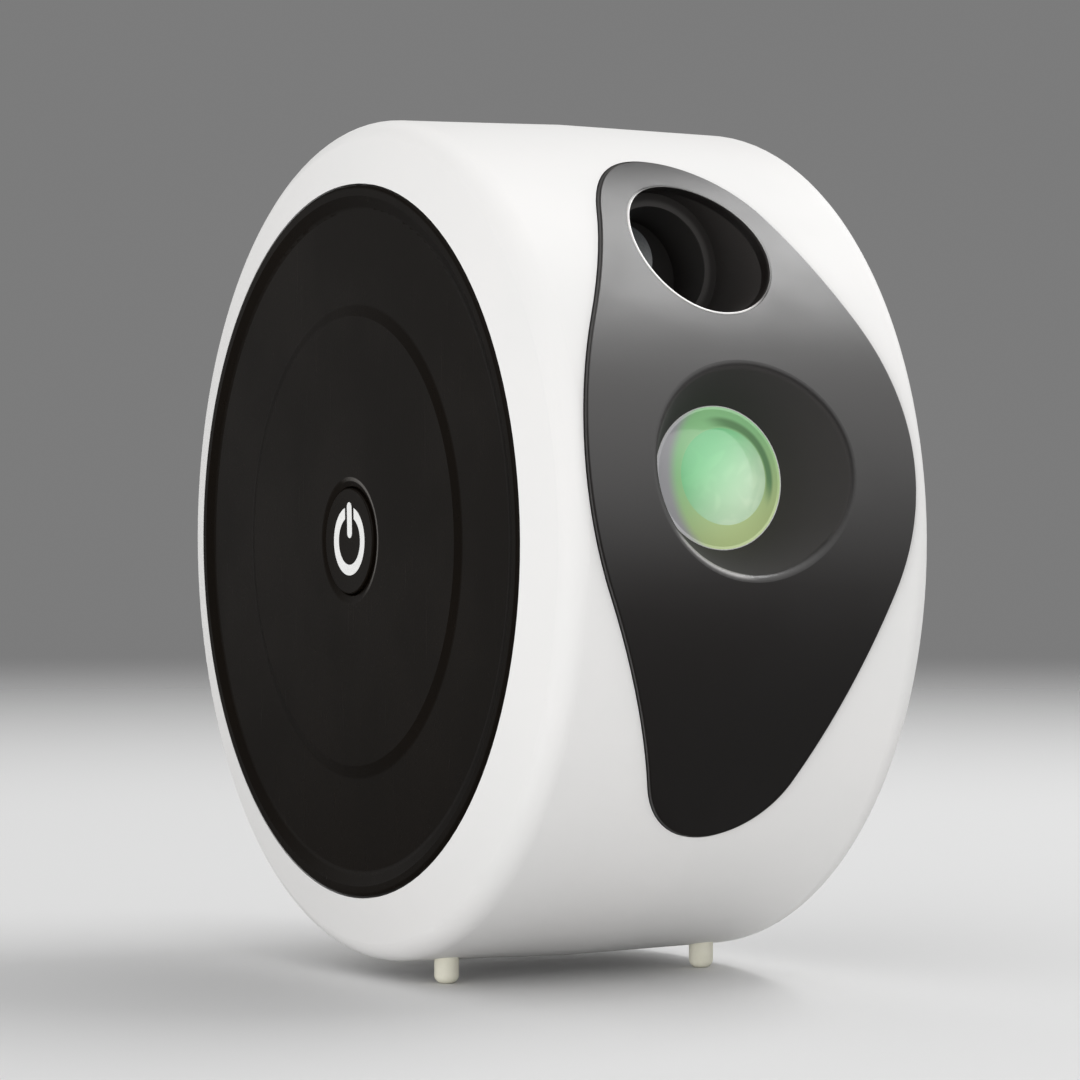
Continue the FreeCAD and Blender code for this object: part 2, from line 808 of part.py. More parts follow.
def front_panel():
    skin = rod_x(panel_surface, -far, far).cut(rod_x(panel_floor, -far, far))
    panel = leaf_prism(-panel_fit).common(skin)
    panel = panel.makeFillet(panel_edge_round, outer_edges(panel, lens_axis_height, 0, far))
    trim = rod_x(panel_surface - panel_proud, -far, far)
    funnel = in_optics(recess_cone(funnel_wall, far)).common(trim)
    panel = panel.fuse(funnel)
    for x, y in chassis_posts:
        post = in_optics(rod_z(post_radius, chassis_front, far, x, y)).common(trim)
        panel = panel.fuse(post)
    for side in (-1, 1):
        post = rod_z(receiver_post_radius, receiver_board_radius, far, side * receiver_post_x)
        panel = panel.fuse(in_receiver(post).common(trim))
    panel = panel.cut(in_optics(recess_cone(0, far)))
    rim = outer_edges(panel, lens_axis_height, lens_radius, recess_radius + same_place)
    panel = panel.makeFillet(recess_round, rim)
    port = in_optics(rod_z(port_radius, chassis_front, far, 0, laser_y))
    panel = panel.cut(port)
    rim = outer_edges(panel, laser_y, port_radius - same_place, port_radius + same_place)
    panel = panel.makeChamfer(port_rim_chamfer, rim)
    for x, y in chassis_posts:
        pilot = rod_z(screw_radius + screw_fit, chassis_front, chassis_front + screw_bite, x, y)
        panel = panel.cut(in_optics(pilot))
    for side in (-1, 1):
        pilot = rod_z(
            small_screw_radius + screw_fit, receiver_board_radius,
            receiver_board_radius + small_screw_bite, side * receiver_post_x,
        )
        panel = panel.cut(in_receiver(pilot))
    return panel.removeSplitter()


# Lens train

def lens():
    edge = lens_radius - 2 * lens_lip
    dome_base = lens_edge + lens_bevel_height
    glass = turned_z([
        (0, lens_back),
        (lens_radius, lens_back),
        (lens_radius, lens_edge),
        (edge, lens_edge),
        (lens_bevel_radius, dome_base),
        (0, dome_base),
    ], lens_axis_height)
    ball = (lens_bevel_radius ** 2 + lens_dome_height ** 2) / (2 * lens_dome_height)
    center = Vector(0, lens_axis_height, dome_base + lens_dome_height - ball)
    dome = Part.makeSphere(ball, center).common(rod_z(far, lens_back, far))
    dome = dome.common(rod_z(lens_bevel_radius, dome_base, far, 0, lens_axis_height))
    return in_optics(glass.fuse(dome).removeSplitter())


def lens_seal():
    return in_optics(turned_z([
        (lens_radius - seal_width, lens_seat),
        (lens_radius, lens_seat),
        (lens_radius, lens_back),
        (lens_radius - seal_width, lens_back),
    ], lens_axis_height))


def lens_barrel():
    bore = lens_radius - lens_step
    return in_optics(turned_z([
        (lens_barrel_radius, lens_edge),
        (lens_radius + lens_fit, lens_edge),
        (lens_radius + lens_fit, lens_seat),
        (bore, lens_seat),
        (bore, ripple_glass_back),
        (bore - ripple_glass_step, ripple_glass_back),
        (bore - ripple_glass_step, spigot_end),
        (ripple_spigot_radius, spigot_end),
        (ripple_spigot_radius, wheel_shoulder),
        (lens_barrel_radius, wheel_shoulder),
    ], lens_axis_height))


def fixed_ripple_glass():
    radius = lens_radius - lens_step - lens_fit
    top = ripple_glass_back + ripple_glass_thickness
    return in_optics(rod_z(radius, ripple_glass_back, top, 0, lens_axis_height))


# Laser port

def laser_tube():
    step_floor = port_step - port_wall
    tube = turned_z([
        (port_radius + port_wall, far),
        (port_radius, far),
        (port_radius, port_step),
        (port_inner_radius, port_step),
        (port_inner_radius, port_floor),
        (beam_bore, port_floor),
        (beam_bore, spigot_end),
        (grating_spigot_radius, spigot_end),
        (grating_spigot_radius, wheel_shoulder),
        (port_inner_radius + port_wall, wheel_shoulder),
        (port_inner_radius + port_wall, step_floor),
        (port_radius + port_wall, step_floor),
    ], laser_y)
    tube = tube.cut(rod_z(window_radius, window_back, port_step, 0, window_y))
    return in_optics(tube).common(rod_x(panel_floor, -far, far))


def laser_window():
    return in_optics(rod_z(window_radius - lens_fit, window_back, port_floor, 0, window_y))


# Gear train

def gear(teeth, bore, y, gap_angle):
    """Spur gear about an upright axis at height y, with a tooth gap towards gap_angle."""
    pitch_radius = gear_module * teeth / 2
    base_radius = pitch_radius * math.cos(math.radians(pressure_angle))
    root_radius = pitch_radius - gear_dedendum
    tip_radius = pitch_radius + gear_addendum
    tooth = math.pi * gear_module / 2 - gear_backlash
    flank_start = max(base_radius, root_radius)

    def roll(radius):
        angle = math.acos(min(1, base_radius / radius))
        return math.tan(angle) - angle

    flank = []
    for step in range(flank_steps + 1):
        radius = flank_start + (tip_radius - flank_start) * step / flank_steps
        half = tooth / (2 * pitch_radius) + roll(pitch_radius) - roll(radius)
        flank.append((radius, half))
    if root_radius < flank_start:
        flank.insert(0, (root_radius, flank[0][1]))

    points = []
    for index in range(teeth):
        middle = math.radians(gap_angle) + 2 * math.pi * (index + 0.5) / teeth
        for radius, half in flank:
            points.append((radius, middle - half))
        for radius, half in reversed(flank):
            points.append((radius, middle + half))
    corners = [Vector(r * math.cos(a), r * math.sin(a), gear_back) for r, a in points]
    face = Part.Face(Part.makePolygon(corners + corners[:1]))
    blank = face.extrude(Vector(0, 0, gear_width)).translated(Vector(0, y, 0))
    return blank.cut(rod_z(bore, gear_back, gear_front, 0, y))


def wheel(teeth, spigot_radius, y, gap_angle):
    """Toothed rim that turns on a fixed spigot, with a collar behind it for the film."""
    bore = spigot_radius + bearing_fit
    collar = rod_z(bore + collar_wall, collar_back, gear_back, 0, y)
    collar = collar.cut(rod_z(bore, collar_back, gear_back, 0, y))
    return in_optics(gear(teeth, bore, y, gap_angle).fuse(collar).removeSplitter())


def film(spigot_radius, y):
    radius = spigot_radius + bearing_fit + collar_wall - film_inset
    return in_optics(rod_z(radius, film_back, collar_back, 0, y))


def drive_pinion():
    return in_optics(gear(pinion_teeth, shaft_radius, pinion_y, 90 + 180 / pinion_teeth))


def motor_shaft():
    return in_optics(rod_z(shaft_radius, chassis_back - shaft_depth, gear_front, 0, pinion_y))


def motor():
    can = rod_z(motor_radius, motor_back, chassis_back, 0, pinion_y)
    can = can.fuse(rod_z(motor_boss_radius, chassis_back, chassis_back + motor_boss_length, 0, pinion_y))
    ear_back = chassis_back - motor_ear_thickness
    bar = block(
        -motor_ear_reach, motor_ear_reach, pinion_y - motor_ear_radius, pinion_y + motor_ear_radius,
        ear_back, chassis_back,
    )
    can = can.fuse(bar)
    for side in (-1, 1):
        x = side * motor_ear_reach
        can = can.fuse(rod_z(motor_ear_radius, ear_back, chassis_back, x, pinion_y))
    for side in (-1, 1):
        x = side * motor_ear_reach
        can = can.cut(rod_z(small_screw_radius + screw_fit, ear_back, chassis_back, x, pinion_y))
    well = chassis_back - shaft_depth - running_gap
    can = can.cut(rod_z(shaft_radius + bearing_fit, well, chassis_front, 0, pinion_y))
    return in_optics(can.removeSplitter())


# Chassis and lamp

def optics_chassis():
    margin = chassis_margin
    side = [
        (lower_post_x + margin, lower_post_y - margin, margin / 2),
        (lower_post_x + margin, lower_post_y + margin, margin / 2),
        (upper_post_x + margin, upper_post_y + margin, margin / 2),
        (holder_half + margin, laser_y + holder_half + margin / 2, margin / 2),
    ]
    corners = side + [(-x, y, radius) for x, y, radius in reversed(side)]
    plate = outline(corners, in_xy).translated(Vector(0, 0, chassis_back))
    plate = plate.extrude(Vector(0, 0, chassis_thickness))
    for x in (-sink_boss_x, sink_boss_x):
        plate = plate.fuse(rod_z(sink_boss_radius, sink_front, chassis_back, x, lens_axis_height))
    holes = [
        (lamp_aperture, 0, lens_axis_height),
        (motor_boss_radius + screw_clearance, 0, pinion_y),
        (beam_aperture, 0, laser_y),
    ]
    holes += [(screw_radius + screw_clearance, x, y) for x, y in chassis_posts]
    holes += [(small_screw_radius + screw_fit, x, pinion_y) for x in (-motor_ear_reach, motor_ear_reach)]
    holes += [(small_screw_radius + screw_fit, x, y) for x, y in holder_screw_spots()]
    for radius, x, y in holes:
        plate = plate.cut(rod_z(radius, chassis_back, chassis_front, x, y))
    for x in (-sink_boss_x, sink_boss_x):
        pilot = rod_z(small_screw_radius + screw_fit, sink_front, chassis_front, x, lens_axis_height)
        plate = plate.cut(pilot)
    return in_optics(plate.removeSplitter())


def chassis_screws():
    length = chassis_thickness + screw_bite - screw_fit
    one = screw(screw_radius, screw_head_radius, screw_head_height, length)
    one = one.rotated(Vector(), Vector(1, 0, 0), 180)
    return [in_optics(one.translated(Vector(x, y, chassis_back))) for x, y in chassis_posts]


def small_screws(spots, seat, length):
    """Small screws driven forwards along the light, with their heads behind a seat."""
    one = screw(small_screw_radius, small_screw_head_radius, small_screw_head_height, length)
    one = one.rotated(Vector(), Vector(1, 0, 0), 180)
    return [in_optics(one.translated(Vector(x, y, seat))) for x, y in spots]


def lamp_reflector():
    bowl = led_front + running_gap
    return in_optics(turned_z([
        (reflector_radius, sink_front),
        (reflector_radius - reflector_wall, sink_front),
        (reflector_radius - reflector_wall, bowl),
        (reflector_bowl_radius, bowl),
        (reflector_bowl_rim, bowl + reflector_bowl_depth),
        (condenser_radius + lens_fit, bowl + reflector_bowl_depth),
        (condenser_radius + lens_fit, chassis_back),
        (reflector_radius, chassis_back),
    ], lens_axis_height))


def condenser_lens():
    base = led_front + running_gap + reflector_bowl_depth
    rim = base + condenser_rim
    ball = (condenser_radius ** 2 + condenser_dome ** 2) / (2 * condenser_dome)
    dome = Part.makeSphere(ball, Vector(0, lens_axis_height, rim + condenser_dome - ball))
    dome = dome.common(rod_z(condenser_radius, rim, far, 0, lens_axis_height))
    glass = rod_z(condenser_radius, base, rim, 0, lens_axis_height).fuse(dome)
    return in_optics(glass.removeSplitter())


def led_board():
    radius = reflector_radius - reflector_wall - lens_fit
    return in_optics(rod_z(radius, sink_front, led_front, 0, lens_axis_height))


def led_emitters():
    chips = []
    half = led_size / 2
    for x in (-led_pitch / 2, led_pitch / 2):
        for y in (lens_axis_height - led_pitch / 2, lens_axis_height + led_pitch / 2):
            chip = block(x - half, x + half, y - half, y + half, led_front, led_front + led_height)
            chips.append(in_optics(chip))
    return chips


def heat_sink():
    sink = rod_z(reflector_radius, sink_back, sink_front, 0, lens_axis_height)
    limit = rod_z(reflector_radius, sink_back - sink_fin_length, sink_back, 0, lens_axis_height)
    for fin in range(sink_fins):
        x = (fin - (sink_fins - 1) / 2) * sink_fin_pitch
        half = sink_fin_thickness / 2
        plate = block(x - half, x + half, -far, far, sink_back - sink_fin_length, sink_back)
        sink = sink.fuse(plate.common(limit))
    ear_low = lens_axis_height - sink_boss_radius
    ear_high = lens_axis_height + sink_boss_radius
    sink = sink.fuse(block(-sink_boss_x, sink_boss_x, ear_low, ear_high, sink_back, sink_front))
    for x in (-sink_boss_x, sink_boss_x):
        sink = sink.fuse(rod_z(sink_boss_radius, sink_back, sink_front, x, lens_axis_height))
    for x in (-sink_boss_x, sink_boss_x):
        sink = sink.cut(rod_z(small_screw_radius + screw_fit, sink_back, sink_front, x, lens_axis_height))
    sink = sink.cut(rod_z(lead_hole_radius, sink_back, sink_front, 0, lens_axis_height))
    return in_optics(sink.removeSplitter())


def heat_sink_screws():
    spots = [(-sink_boss_x, lens_axis_height), (sink_boss_x, lens_axis_height)]
    return small_screws(spots, sink_back, sink_base + small_screw_bite)


def motor_screws():
    spots = [(-motor_ear_reach, pinion_y), (motor_ear_reach, pinion_y)]
    return small_screws(spots, chassis_back - motor_ear_thickness, motor_ear_thickness + chassis_bite)


# Laser

def holder_screw_spots():
    offset = holder_screw_offset
    return [(-offset, laser_y - offset), (offset, laser_y + offset)]


def laser_holder():
    holder = block(
        -holder_half, holder_half, laser_y - holder_half, laser_y + holder_half,
        holder_back, chassis_back,
    )
    holder = holder.cut(rod_z(laser_radius + lens_fit, holder_back, chassis_back, 0, laser_y))
    for x, y in holder_screw_spots():
        holder = holder.cut(rod_z(small_screw_radius + screw_fit, holder_back, chassis_back, x, y))
    return in_optics(holder)


def laser_holder_screws():
    return small_screws(holder_screw_spots(), holder_back, holder_length + chassis_bite)


def laser_module():
    front = chassis_back - laser_setback
    module = rod_z(laser_radius, front - laser_length, front, 0, laser_y)
    seat = front - collimator_thickness
    return in_optics(module.cut(rod_z(collimator_radius, seat, front, 0, laser_y)))


def laser_collimator():
    front = chassis_back - laser_setback
    return in_optics(rod_z(collimator_radius - lens_fit, front - collimator_thickness, front, 0, laser_y))


# Main board

def stadium(width, height):
    """Slot outline with round ends, facing along Y."""
    half = (width - height) / 2
    radius = height / 2
    right_end = (half, radius), (half + radius, 0), (half, -radius)
    left_end = (-half, -radius), (-half - radius, 0), (-half, radius)
    edges = [
        Part.LineSegment(in_xz(*left_end[2]), in_xz(*right_end[0])).toShape(),
        Part.Arc(*[in_xz(*point) for point in right_end]).toShape(),
        Part.LineSegment(in_xz(*right_end[2]), in_xz(*left_end[0])).toShape(),
        Part.Arc(*[in_xz(*point) for point in left_end]).toShape(),
    ]
    return Part.Face(Part.Wire(edges))


def main_board():
    board = block(-board_half_width, board_half_width, board_front, board_rear, board_bottom, board_top)
    for x, y in board_post_spots():
        for side in (-1, 1):
            board = board.cut(rod_z(screw_radius + screw_fit, board_bottom, board_top, side * x, y))
    return board


def board_screws():
    length = board_thickness + screw_bite - screw_fit
    one = screw(screw_radius, screw_head_radius, screw_head_height, length)
    spots = [(side * x, y) for x, y in board_post_spots() for side in (-1, 1)]
    return [one.translated(Vector(x, y, board_top)) for x, y in spots]


def power_socket():
    mouth = socket_pocket_floor - socket_setback
    shell = stadium(socket_width, socket_height).extrude(Vector(0, socket_length, 0))
    hollow = stadium(socket_width - 2 * socket_wall, socket_height - 2 * socket_wall)
    hollow = hollow.extrude(Vector(0, socket_length, 0)).translated(Vector(0, socket_wall, 0))
    tongue = block(
        -socket_tongue_width / 2, socket_tongue_width / 2, 0, socket_wall + socket_tongue_length,
        -socket_tongue_thickness / 2, socket_tongue_thickness / 2,
    )
    socket = shell.cut(hollow).fuse(tongue)
    return socket.removeSplitter().translated(Vector(socket_x, mouth - socket_length, socket_z))


def controller_chip():
    half = chip_size / 2
    return block(-half, half, chip_y - half, chip_y + half, board_top, board_top + chip_height)


def power_coil():
    half = coil_size / 2
    return block(
        coil_x - half, coil_x + half, coil_y - half, coil_y + half, board_top, board_top + coil_height,
    )


def capacitors():
    step = 2 * capacitor_radius + running_gap
    can = rod_z(capacitor_radius, board_top, board_top + capacitor_height, capacitor_x, capacitor_y)
    return [can, can.translated(Vector(0, -step, 0))]


def header_spot(index):
    """Top of one wire header, counted from the middle one."""
    return Vector(index * header_pitch, header_y, board_top + header_height)


def wire_headers():
    headers = []
    for index in (-2, -1, 0, 1, 2):
        x = header_spot(index).x
        headers.append(block(
            x - header_width / 2, x + header_width / 2,
            header_y - header_depth / 2, header_y + header_depth / 2,
            board_top, board_top + header_height,
        ))
    return headers


# Remote receiver behind the panel

def receiver_board():
    half_width = receiver_board_width / 2
    half_height = receiver_board_height / 2
    back = receiver_board_radius - receiver_board_thickness
    board = block(-half_width, half_width, -half_height, half_height, back, receiver_board_radius)
    for side in (-1, 1):
        hole = rod_z(small_screw_radius + screw_fit, back, receiver_board_radius, side * receiver_post_x)
        board = board.cut(hole)
    return in_receiver(board)


def remote_receiver():
    half_width = receiver_width / 2
    half_height = receiver_height / 2
    front = receiver_board_radius + receiver_depth
    body = block(-half_width, half_width, -half_height, half_height, receiver_board_radius, front)
    dome = Part.makeSphere(receiver_dome, Vector(0, 0, front))
    return in_receiver(body.fuse(dome).removeSplitter())


def receiver_screws():
    seat = receiver_board_radius - receiver_board_thickness
    length = receiver_board_thickness + small_screw_bite - screw_fit
    one = screw(small_screw_radius, small_screw_head_radius, small_screw_head_height, length)
    one = one.rotated(Vector(), Vector(1, 0, 0), 180)
    return [in_receiver(one.translated(Vector(side * receiver_post_x, 0, seat))) for side in (-1, 1)]


# Wire leads

def lead(points):
    """Round lead along straight runs joined by arcs as large as the runs allow."""
    edges = []
    start = points[0]
    for index in range(1, len(points) - 1):
        here = points[index]
        before = points[index - 1] - here
        after = points[index + 1] - here
        reach = lead_reach * min(before.Length, after.Length)
        before.normalize()
        after.normalize()
        half_angle = before.getAngle(after) / 2
        radius = reach * math.tan(half_angle)
        middle = here + (before + after).normalize() * (radius / math.sin(half_angle) - radius)
        edges.append(Part.LineSegment(start, here + before * reach).toShape())
        edges.append(Part.Arc(here + before * reach, middle, here + after * reach).toShape())
        start = here + after * reach
    edges.append(Part.LineSegment(start, points[-1]).toShape())
    path = Part.Wire(edges)
    along = (points[1] - points[0]).normalize()
    section = Part.Wire(Part.makeCircle(lead_radius, points[0], along))
    return path.makePipeShell([section], True, False)


def optics_spot(x, y, z):
    return optics_place.multVec(Vector(x, y, z))


def lamp_lead():
    return lead([
        optics_spot(0, lens_axis_height, sink_front),
        optics_spot(0, lens_axis_height, sink_front - lead_run - sink_base),
        Vector(0, header_y, lamp_lead_low),
        header_spot(0),
    ])


def motor_lead():
    x = motor_radius / 2
    return lead([
        optics_spot(x, pinion_y, motor_back),
        optics_spot(x, pinion_y, motor_back - lead_run),
        Vector(header_pitch, motor_lead_back, motor_lead_low),
        header_spot(1) + Vector(0, 0, lead_rise),
        header_spot(1),
    ])


def laser_lead():
    back = chassis_back - laser_setback - laser_length
    return lead([
        optics_spot(0, laser_y, back),
        optics_spot(0, laser_y, back - lead_run),
        Vector(laser_lead_side, laser_lead_back, laser_lead_high),
        Vector(-header_pitch, laser_lead_back, laser_lead_low),
        header_spot(-1) + Vector(0, 0, lead_rise),
        header_spot(-1),
    ])


def button_lead():
    back = board_thickness - button_board_x
    return lead([
        Vector(back, button_lead_back, button_lead_low),
        Vector(back + lead_rise / 2, button_lead_back, button_lead_low),
        header_spot(-2) + Vector(0, 0, lead_rise),
        header_spot(-2),
    ])


def receiver_lead():
    back = receiver_board_radius - receiver_board_thickness
    return lead([
        receiver_place.multVec(Vector(0, 0, back)),
        receiver_place.multVec(Vector(0, 0, back - lead_run)),
        Vector(receiver_lead_side, receiver_lead_front, receiver_lead_low),
        Vector(2 * header_pitch, receiver_lead_back, receiver_lead_low),
        header_spot(2) + Vector(0, 0, lead_rise),
        header_spot(2),
    ])


# Shell screws and feet

def shell_screws():
    seat = cap_seat_x - screw_head_height
    length = seat + shell_screw_bite
    one = screw(screw_radius, screw_head_radius, screw_head_height, length)
    one = one.rotated(Vector(), Vector(0, 1, 0), 90)
    return [one.translated(Vector(seat, y, z)) for y, z in shell_screw_spots()]


def feet(y_wanted):
    low = -barrel_radius - foot_drop
    pair = []
    for x, y, top in foot_spots():
        if y == y_wanted:
            peg = turned_z([(0, low), (foot_radius, low, foot_tip_round), (foot_radius, top), (0, top)])
            pair += [peg.translated(Vector(side * x, y, 0)) for side in (-1, 1)]
    return pair


save("left_shell", left_shell())
save("right_shell", right_shell())
save("left_cap", left_cap())
save("right_cap", right_cap())
save("power_button", power_button())
save("power_symbol", *power_symbol())
save("switch_plunger", switch_plunger())
save("power_switch", power_switch())
save("button_board", button_board())
save("button_board_screws", *button_board_screws())
save("front_panel", front_panel())
save("lens", lens())
save("lens_seal", lens_seal())
save("lens_barrel", lens_barrel())
save("fixed_ripple_glass", fixed_ripple_glass())
save("laser_tube", laser_tube())
save("laser_window", laser_window())
save("ripple_wheel", wheel(ripple_teeth, ripple_spigot_radius, lens_axis_height, 90))
save("ripple_film", film(ripple_spigot_radius, lens_axis_height))
save("grating_wheel", wheel(grating_teeth, grating_spigot_radius, laser_y, 270))
save("grating_film", film(grating_spigot_radius, laser_y))
save("drive_pinion", drive_pinion())
save("motor_shaft", motor_shaft())
save("motor", motor())
save("motor_screws", *motor_screws())
save("optics_chassis", optics_chassis())
save("chassis_screws", *chassis_screws())
save("lamp_reflector", lamp_reflector())
save("condenser_lens", condenser_lens())
save("led_board", led_board())
save("led_emitters", *led_emitters())
save("heat_sink", heat_sink())
save("heat_sink_screws", *heat_sink_screws())
save("laser_holder", laser_holder())
save("laser_holder_screws", *laser_holder_screws())
save("laser_module", laser_module())
save("laser_collimator", laser_collimator())
save("main_board", main_board())
save("board_screws", *board_screws())
save("power_socket", power_socket())
save("controller_chip", controller_chip())
save("power_coil", power_coil())
save("capacitors", *capacitors())
save("wire_headers", *wire_headers())
save("receiver_board", receiver_board())
save("remote_receiver", remote_receiver())
save("receiver_screws", *receiver_screws())
save("lamp_lead", lamp_lead())
save("motor_lead", motor_lead())
save("laser_lead", laser_lead())
save("button_lead", button_lead())
save("receiver_lead", receiver_lead())
save("shell_screws", *shell_screws())
save("front_feet", *feet(front_foot_y))
save("rear_feet", *feet(rear_foot_y))
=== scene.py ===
import json
import math

import bmesh
import bpy
from mathutils import Matrix, Vector


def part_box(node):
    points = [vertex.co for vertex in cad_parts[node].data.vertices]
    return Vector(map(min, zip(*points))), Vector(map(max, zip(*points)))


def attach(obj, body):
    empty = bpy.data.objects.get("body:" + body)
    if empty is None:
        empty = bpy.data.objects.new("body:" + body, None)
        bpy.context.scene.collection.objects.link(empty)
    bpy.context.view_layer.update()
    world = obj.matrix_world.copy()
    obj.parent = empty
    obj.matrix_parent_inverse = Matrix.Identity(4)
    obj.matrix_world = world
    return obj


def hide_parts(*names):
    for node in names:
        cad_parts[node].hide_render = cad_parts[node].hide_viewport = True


# Drum-shaped laser and nebula projector: finishes, lens, studio and camera around the frame.
# Everything is in metres, in the frame's own axes: X along the drum, -Y to the front, Z up.

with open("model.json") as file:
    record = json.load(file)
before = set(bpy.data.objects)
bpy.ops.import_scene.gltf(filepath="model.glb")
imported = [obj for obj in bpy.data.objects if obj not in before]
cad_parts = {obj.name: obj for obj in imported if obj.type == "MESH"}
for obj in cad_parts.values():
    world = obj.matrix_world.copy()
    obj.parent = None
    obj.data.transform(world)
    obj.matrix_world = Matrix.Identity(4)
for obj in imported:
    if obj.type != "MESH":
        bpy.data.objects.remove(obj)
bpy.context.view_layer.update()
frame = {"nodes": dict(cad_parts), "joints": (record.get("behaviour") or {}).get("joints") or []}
nodes = frame["nodes"]
joints = {joint["name"]: joint for joint in frame["joints"]}
mm = 0.001

# Camera, at the angle from which the drum is seen
view_azimuth = math.radians(-28.8)
view_elevation = math.radians(0.55)
view_distance = 0.7236
view_height = 0.188                 # height of the picture at the drum's axis

# Floor
floor_radius = 3.0
floor_fade = (0.35, 1.5)            # the floor fades out between these two radii
floor_shade = 0.75
mirrored_floor_shade = 0.06         # as glossy surfaces show it
floor_steps = 128

# Surroundings. A span is where one comes in and where it is full, as cosines from its middle.
sky_light = 0.77                    # even light on matt surfaces
backdrop_light = 0.2                # as the camera shows it, and glossy surfaces in front
glow_light = 1.26                   # in glossy surfaces, high in front on the right
glow_way = Vector((0.48, -0.5, 0.72))
glow_span = (0.42, 0.97)
rear_light = 0.21                   # in glossy surfaces, behind, between two dark flags
rear_flag_light = 0.03
rear_way = Vector((-0.46, 0.89, -0.03))
rear_span = (0.90, 0.985)
behind_way = Vector((0.0, 0.8, -0.6))
behind_span = (-0.1, 0.25)

# Lamps: place, width and height, power in watts
softbox_spot = Vector((0.86, -0.12, 1.42))
softbox_size = (1.4, 0.3)
softbox_power = 8.8
right_softbox_spot = Vector((1.3, 0.35, 0.9))
right_softbox_size = (1.0, 0.8)
right_softbox_power = 8.0
front_lamp_spot = Vector((-1.3, -0.85, 0.13))
front_lamp_size = (1.2, 0.24)
front_lamp_power = 8.8

# Projection lens, as radii and as heights over the front of its flange
lens_flange_thickness = 1.5 * mm
lens_clear_radius = 11.8 * mm
lens_edge_width = 0.18 * mm
lens_edge_rise = 0.08 * mm
lens_bevel_radius = 11.2 * mm
lens_dome_radius = 7.9 * mm
lens_dome_foot = 1.5 * mm
lens_dome_top = 2.8 * mm
lens_dome_round = 0.3 * mm
lens_dome_points = 16
lens_steps = 128

# Meshes of the modelled pieces
merge_distance = 0.001 * mm
sharp_angle = math.radians(24)      # edges stay sharp from here

# Light in the lens. Spans are distances from its axis, or along a way across it.
lens_glow = 0.3
lit_middle = (5.0 * mm, 0.0)        # lit round this point, which leaves a crescent at the left
lit_fade = (13.3 * mm, 15.1 * mm)
paler_way = (1.0, -1.0, 0.0)
paler_span = (-9.0 * mm, 10.0 * mm)
yellow_way = (0.4, -0.92, 0.0)
yellow_span = (-6.0 * mm, 11.0 * mm)
arc_way = (0.78, 0.62, 0.0)         # painted dark arc, standing for the barrel seen in the bevel
arc_span = (3.0 * mm, 7.0 * mm)
arc_rise = (7.8 * mm, 8.5 * mm)
arc_fall = (9.3 * mm, 10.2 * mm)
swirl_size = 7.0 * mm               # faint dark swirls painted in the dome, for reflections inside it
swirl_span = (0.40, 0.64)
swirl_share = (0.86, 1.0)

# Tones of the dome: green, pale where painted light falls low on its right, and in the painted swirls
dome_body = ((0.25, 0.58, 0.31), (0.57, 0.72, 0.53), (0.20, 0.46, 0.26))
dome_light = ((0.12, 0.58, 0.18), (0.50, 0.70, 0.44), (0.08, 0.34, 0.12))

# Tones of the bevel: grey, green, yellow and in the painted dark arc
bevel_body = ((0.40, 0.39, 0.41), (0.30, 0.55, 0.29), (0.48, 0.57, 0.29), (0.17, 0.32, 0.16))
bevel_light = ((0.32, 0.33, 0.34), (0.25, 0.60, 0.24), (0.46, 0.60, 0.24), (0.09, 0.20, 0.08))

# Ground edge of the lens, pale, with a glow that is a painted highlight
ground_size = 0.3 * mm
ground_tones = ((0.56, 0.56, 0.55), (0.64, 0.66, 0.63))

# Painted highlight on the lip of the button's seat in the left cap, as distances from the drum's axis
lip_rise = (10.1 * mm, 10.3 * mm)
lip_fall = (10.75 * mm, 10.95 * mm)
lip_way = (0.0, -0.92, 0.39)        # highlight painted most this way
lip_span = (0.0, 9.0 * mm)
lip_side = (-1.0 * mm, 0.0)         # along the drum, so that the right cap has none
lip_highlight_tone = (0.125, 0.118, 0.110)

# Hairlines of the side caps
hairline_stretches = ((20.0 * mm, 0.4 * mm, 0.6 * mm), (0.5 * mm, 0.5 * mm, 18.0 * mm))
hairline_span = (0.70, 0.76)
hairline_gloss = 0.08

# Recess around the lens, in which the panel is matt but for the lower part of its rim, which carries a
# painted highlight
recess_tone = (0.034, 0.031, 0.030)
recess_reach = (20.0 * mm, 20.5 * mm)        # from the lens axis
recess_sink = (0.5 * mm, 0.1 * mm)           # under the panel's face
recess_rim_sink = (1.1 * mm, 0.7 * mm)
recess_low = (-13.0 * mm, -9.0 * mm)         # heights over the lens axis
recess_rim_highlight_tone = (0.36, 0.35, 0.34)        # painted highlight, a thin pale line on the rim's rounded edge
recess_rim_highlight_way = (-0.46, -0.89, 0.0)
recess_rim_highlight_span = (15.4 * mm, 17.0 * mm)
recess_rim_highlight_rise = (0.93 * mm, 0.65 * mm)    # under the panel's face
recess_rim_highlight_fall = (0.28 * mm, 0.0)

# Painted highlight on the inner edge of the step inside the laser port
port_step_highlight_tone = (0.085, 0.080, 0.077)
port_step_depth = -15.4 * mm                 # from the front of the lens flange
port_step_fade = (0.2 * mm, 0.4 * mm)        # away from that depth
port_step_reach = (10.2 * mm, 11.2 * mm)     # from the port's axis

# Trim ring of the laser port, on the panel's curved face
port_radius = 12.0 * mm
trim_crest = 0.08 * mm
trim_width = 0.34 * mm
trim_rise = 0.16 * mm
trim_sink = 0.45 * mm
trim_round_steps = 4
trim_steps = 192
# Painted shade darkens the trim ring's upper right, so that it shows pale only low on its left
trim_shade_tone = (0.05, 0.048, 0.046)
trim_lit_way = (-0.85, -0.53, 0.0)
trim_shade_span = (-3.0 * mm, 4.0 * mm)       # from the port's axis

# Laser window, from its foot to its top
window_foot_tone = (0.86, 0.88, 0.88)
window_top_tone = (0.16, 0.17, 0.18)
window_frost_size = 0.3 * mm
window_frost_height = 0.02 * mm

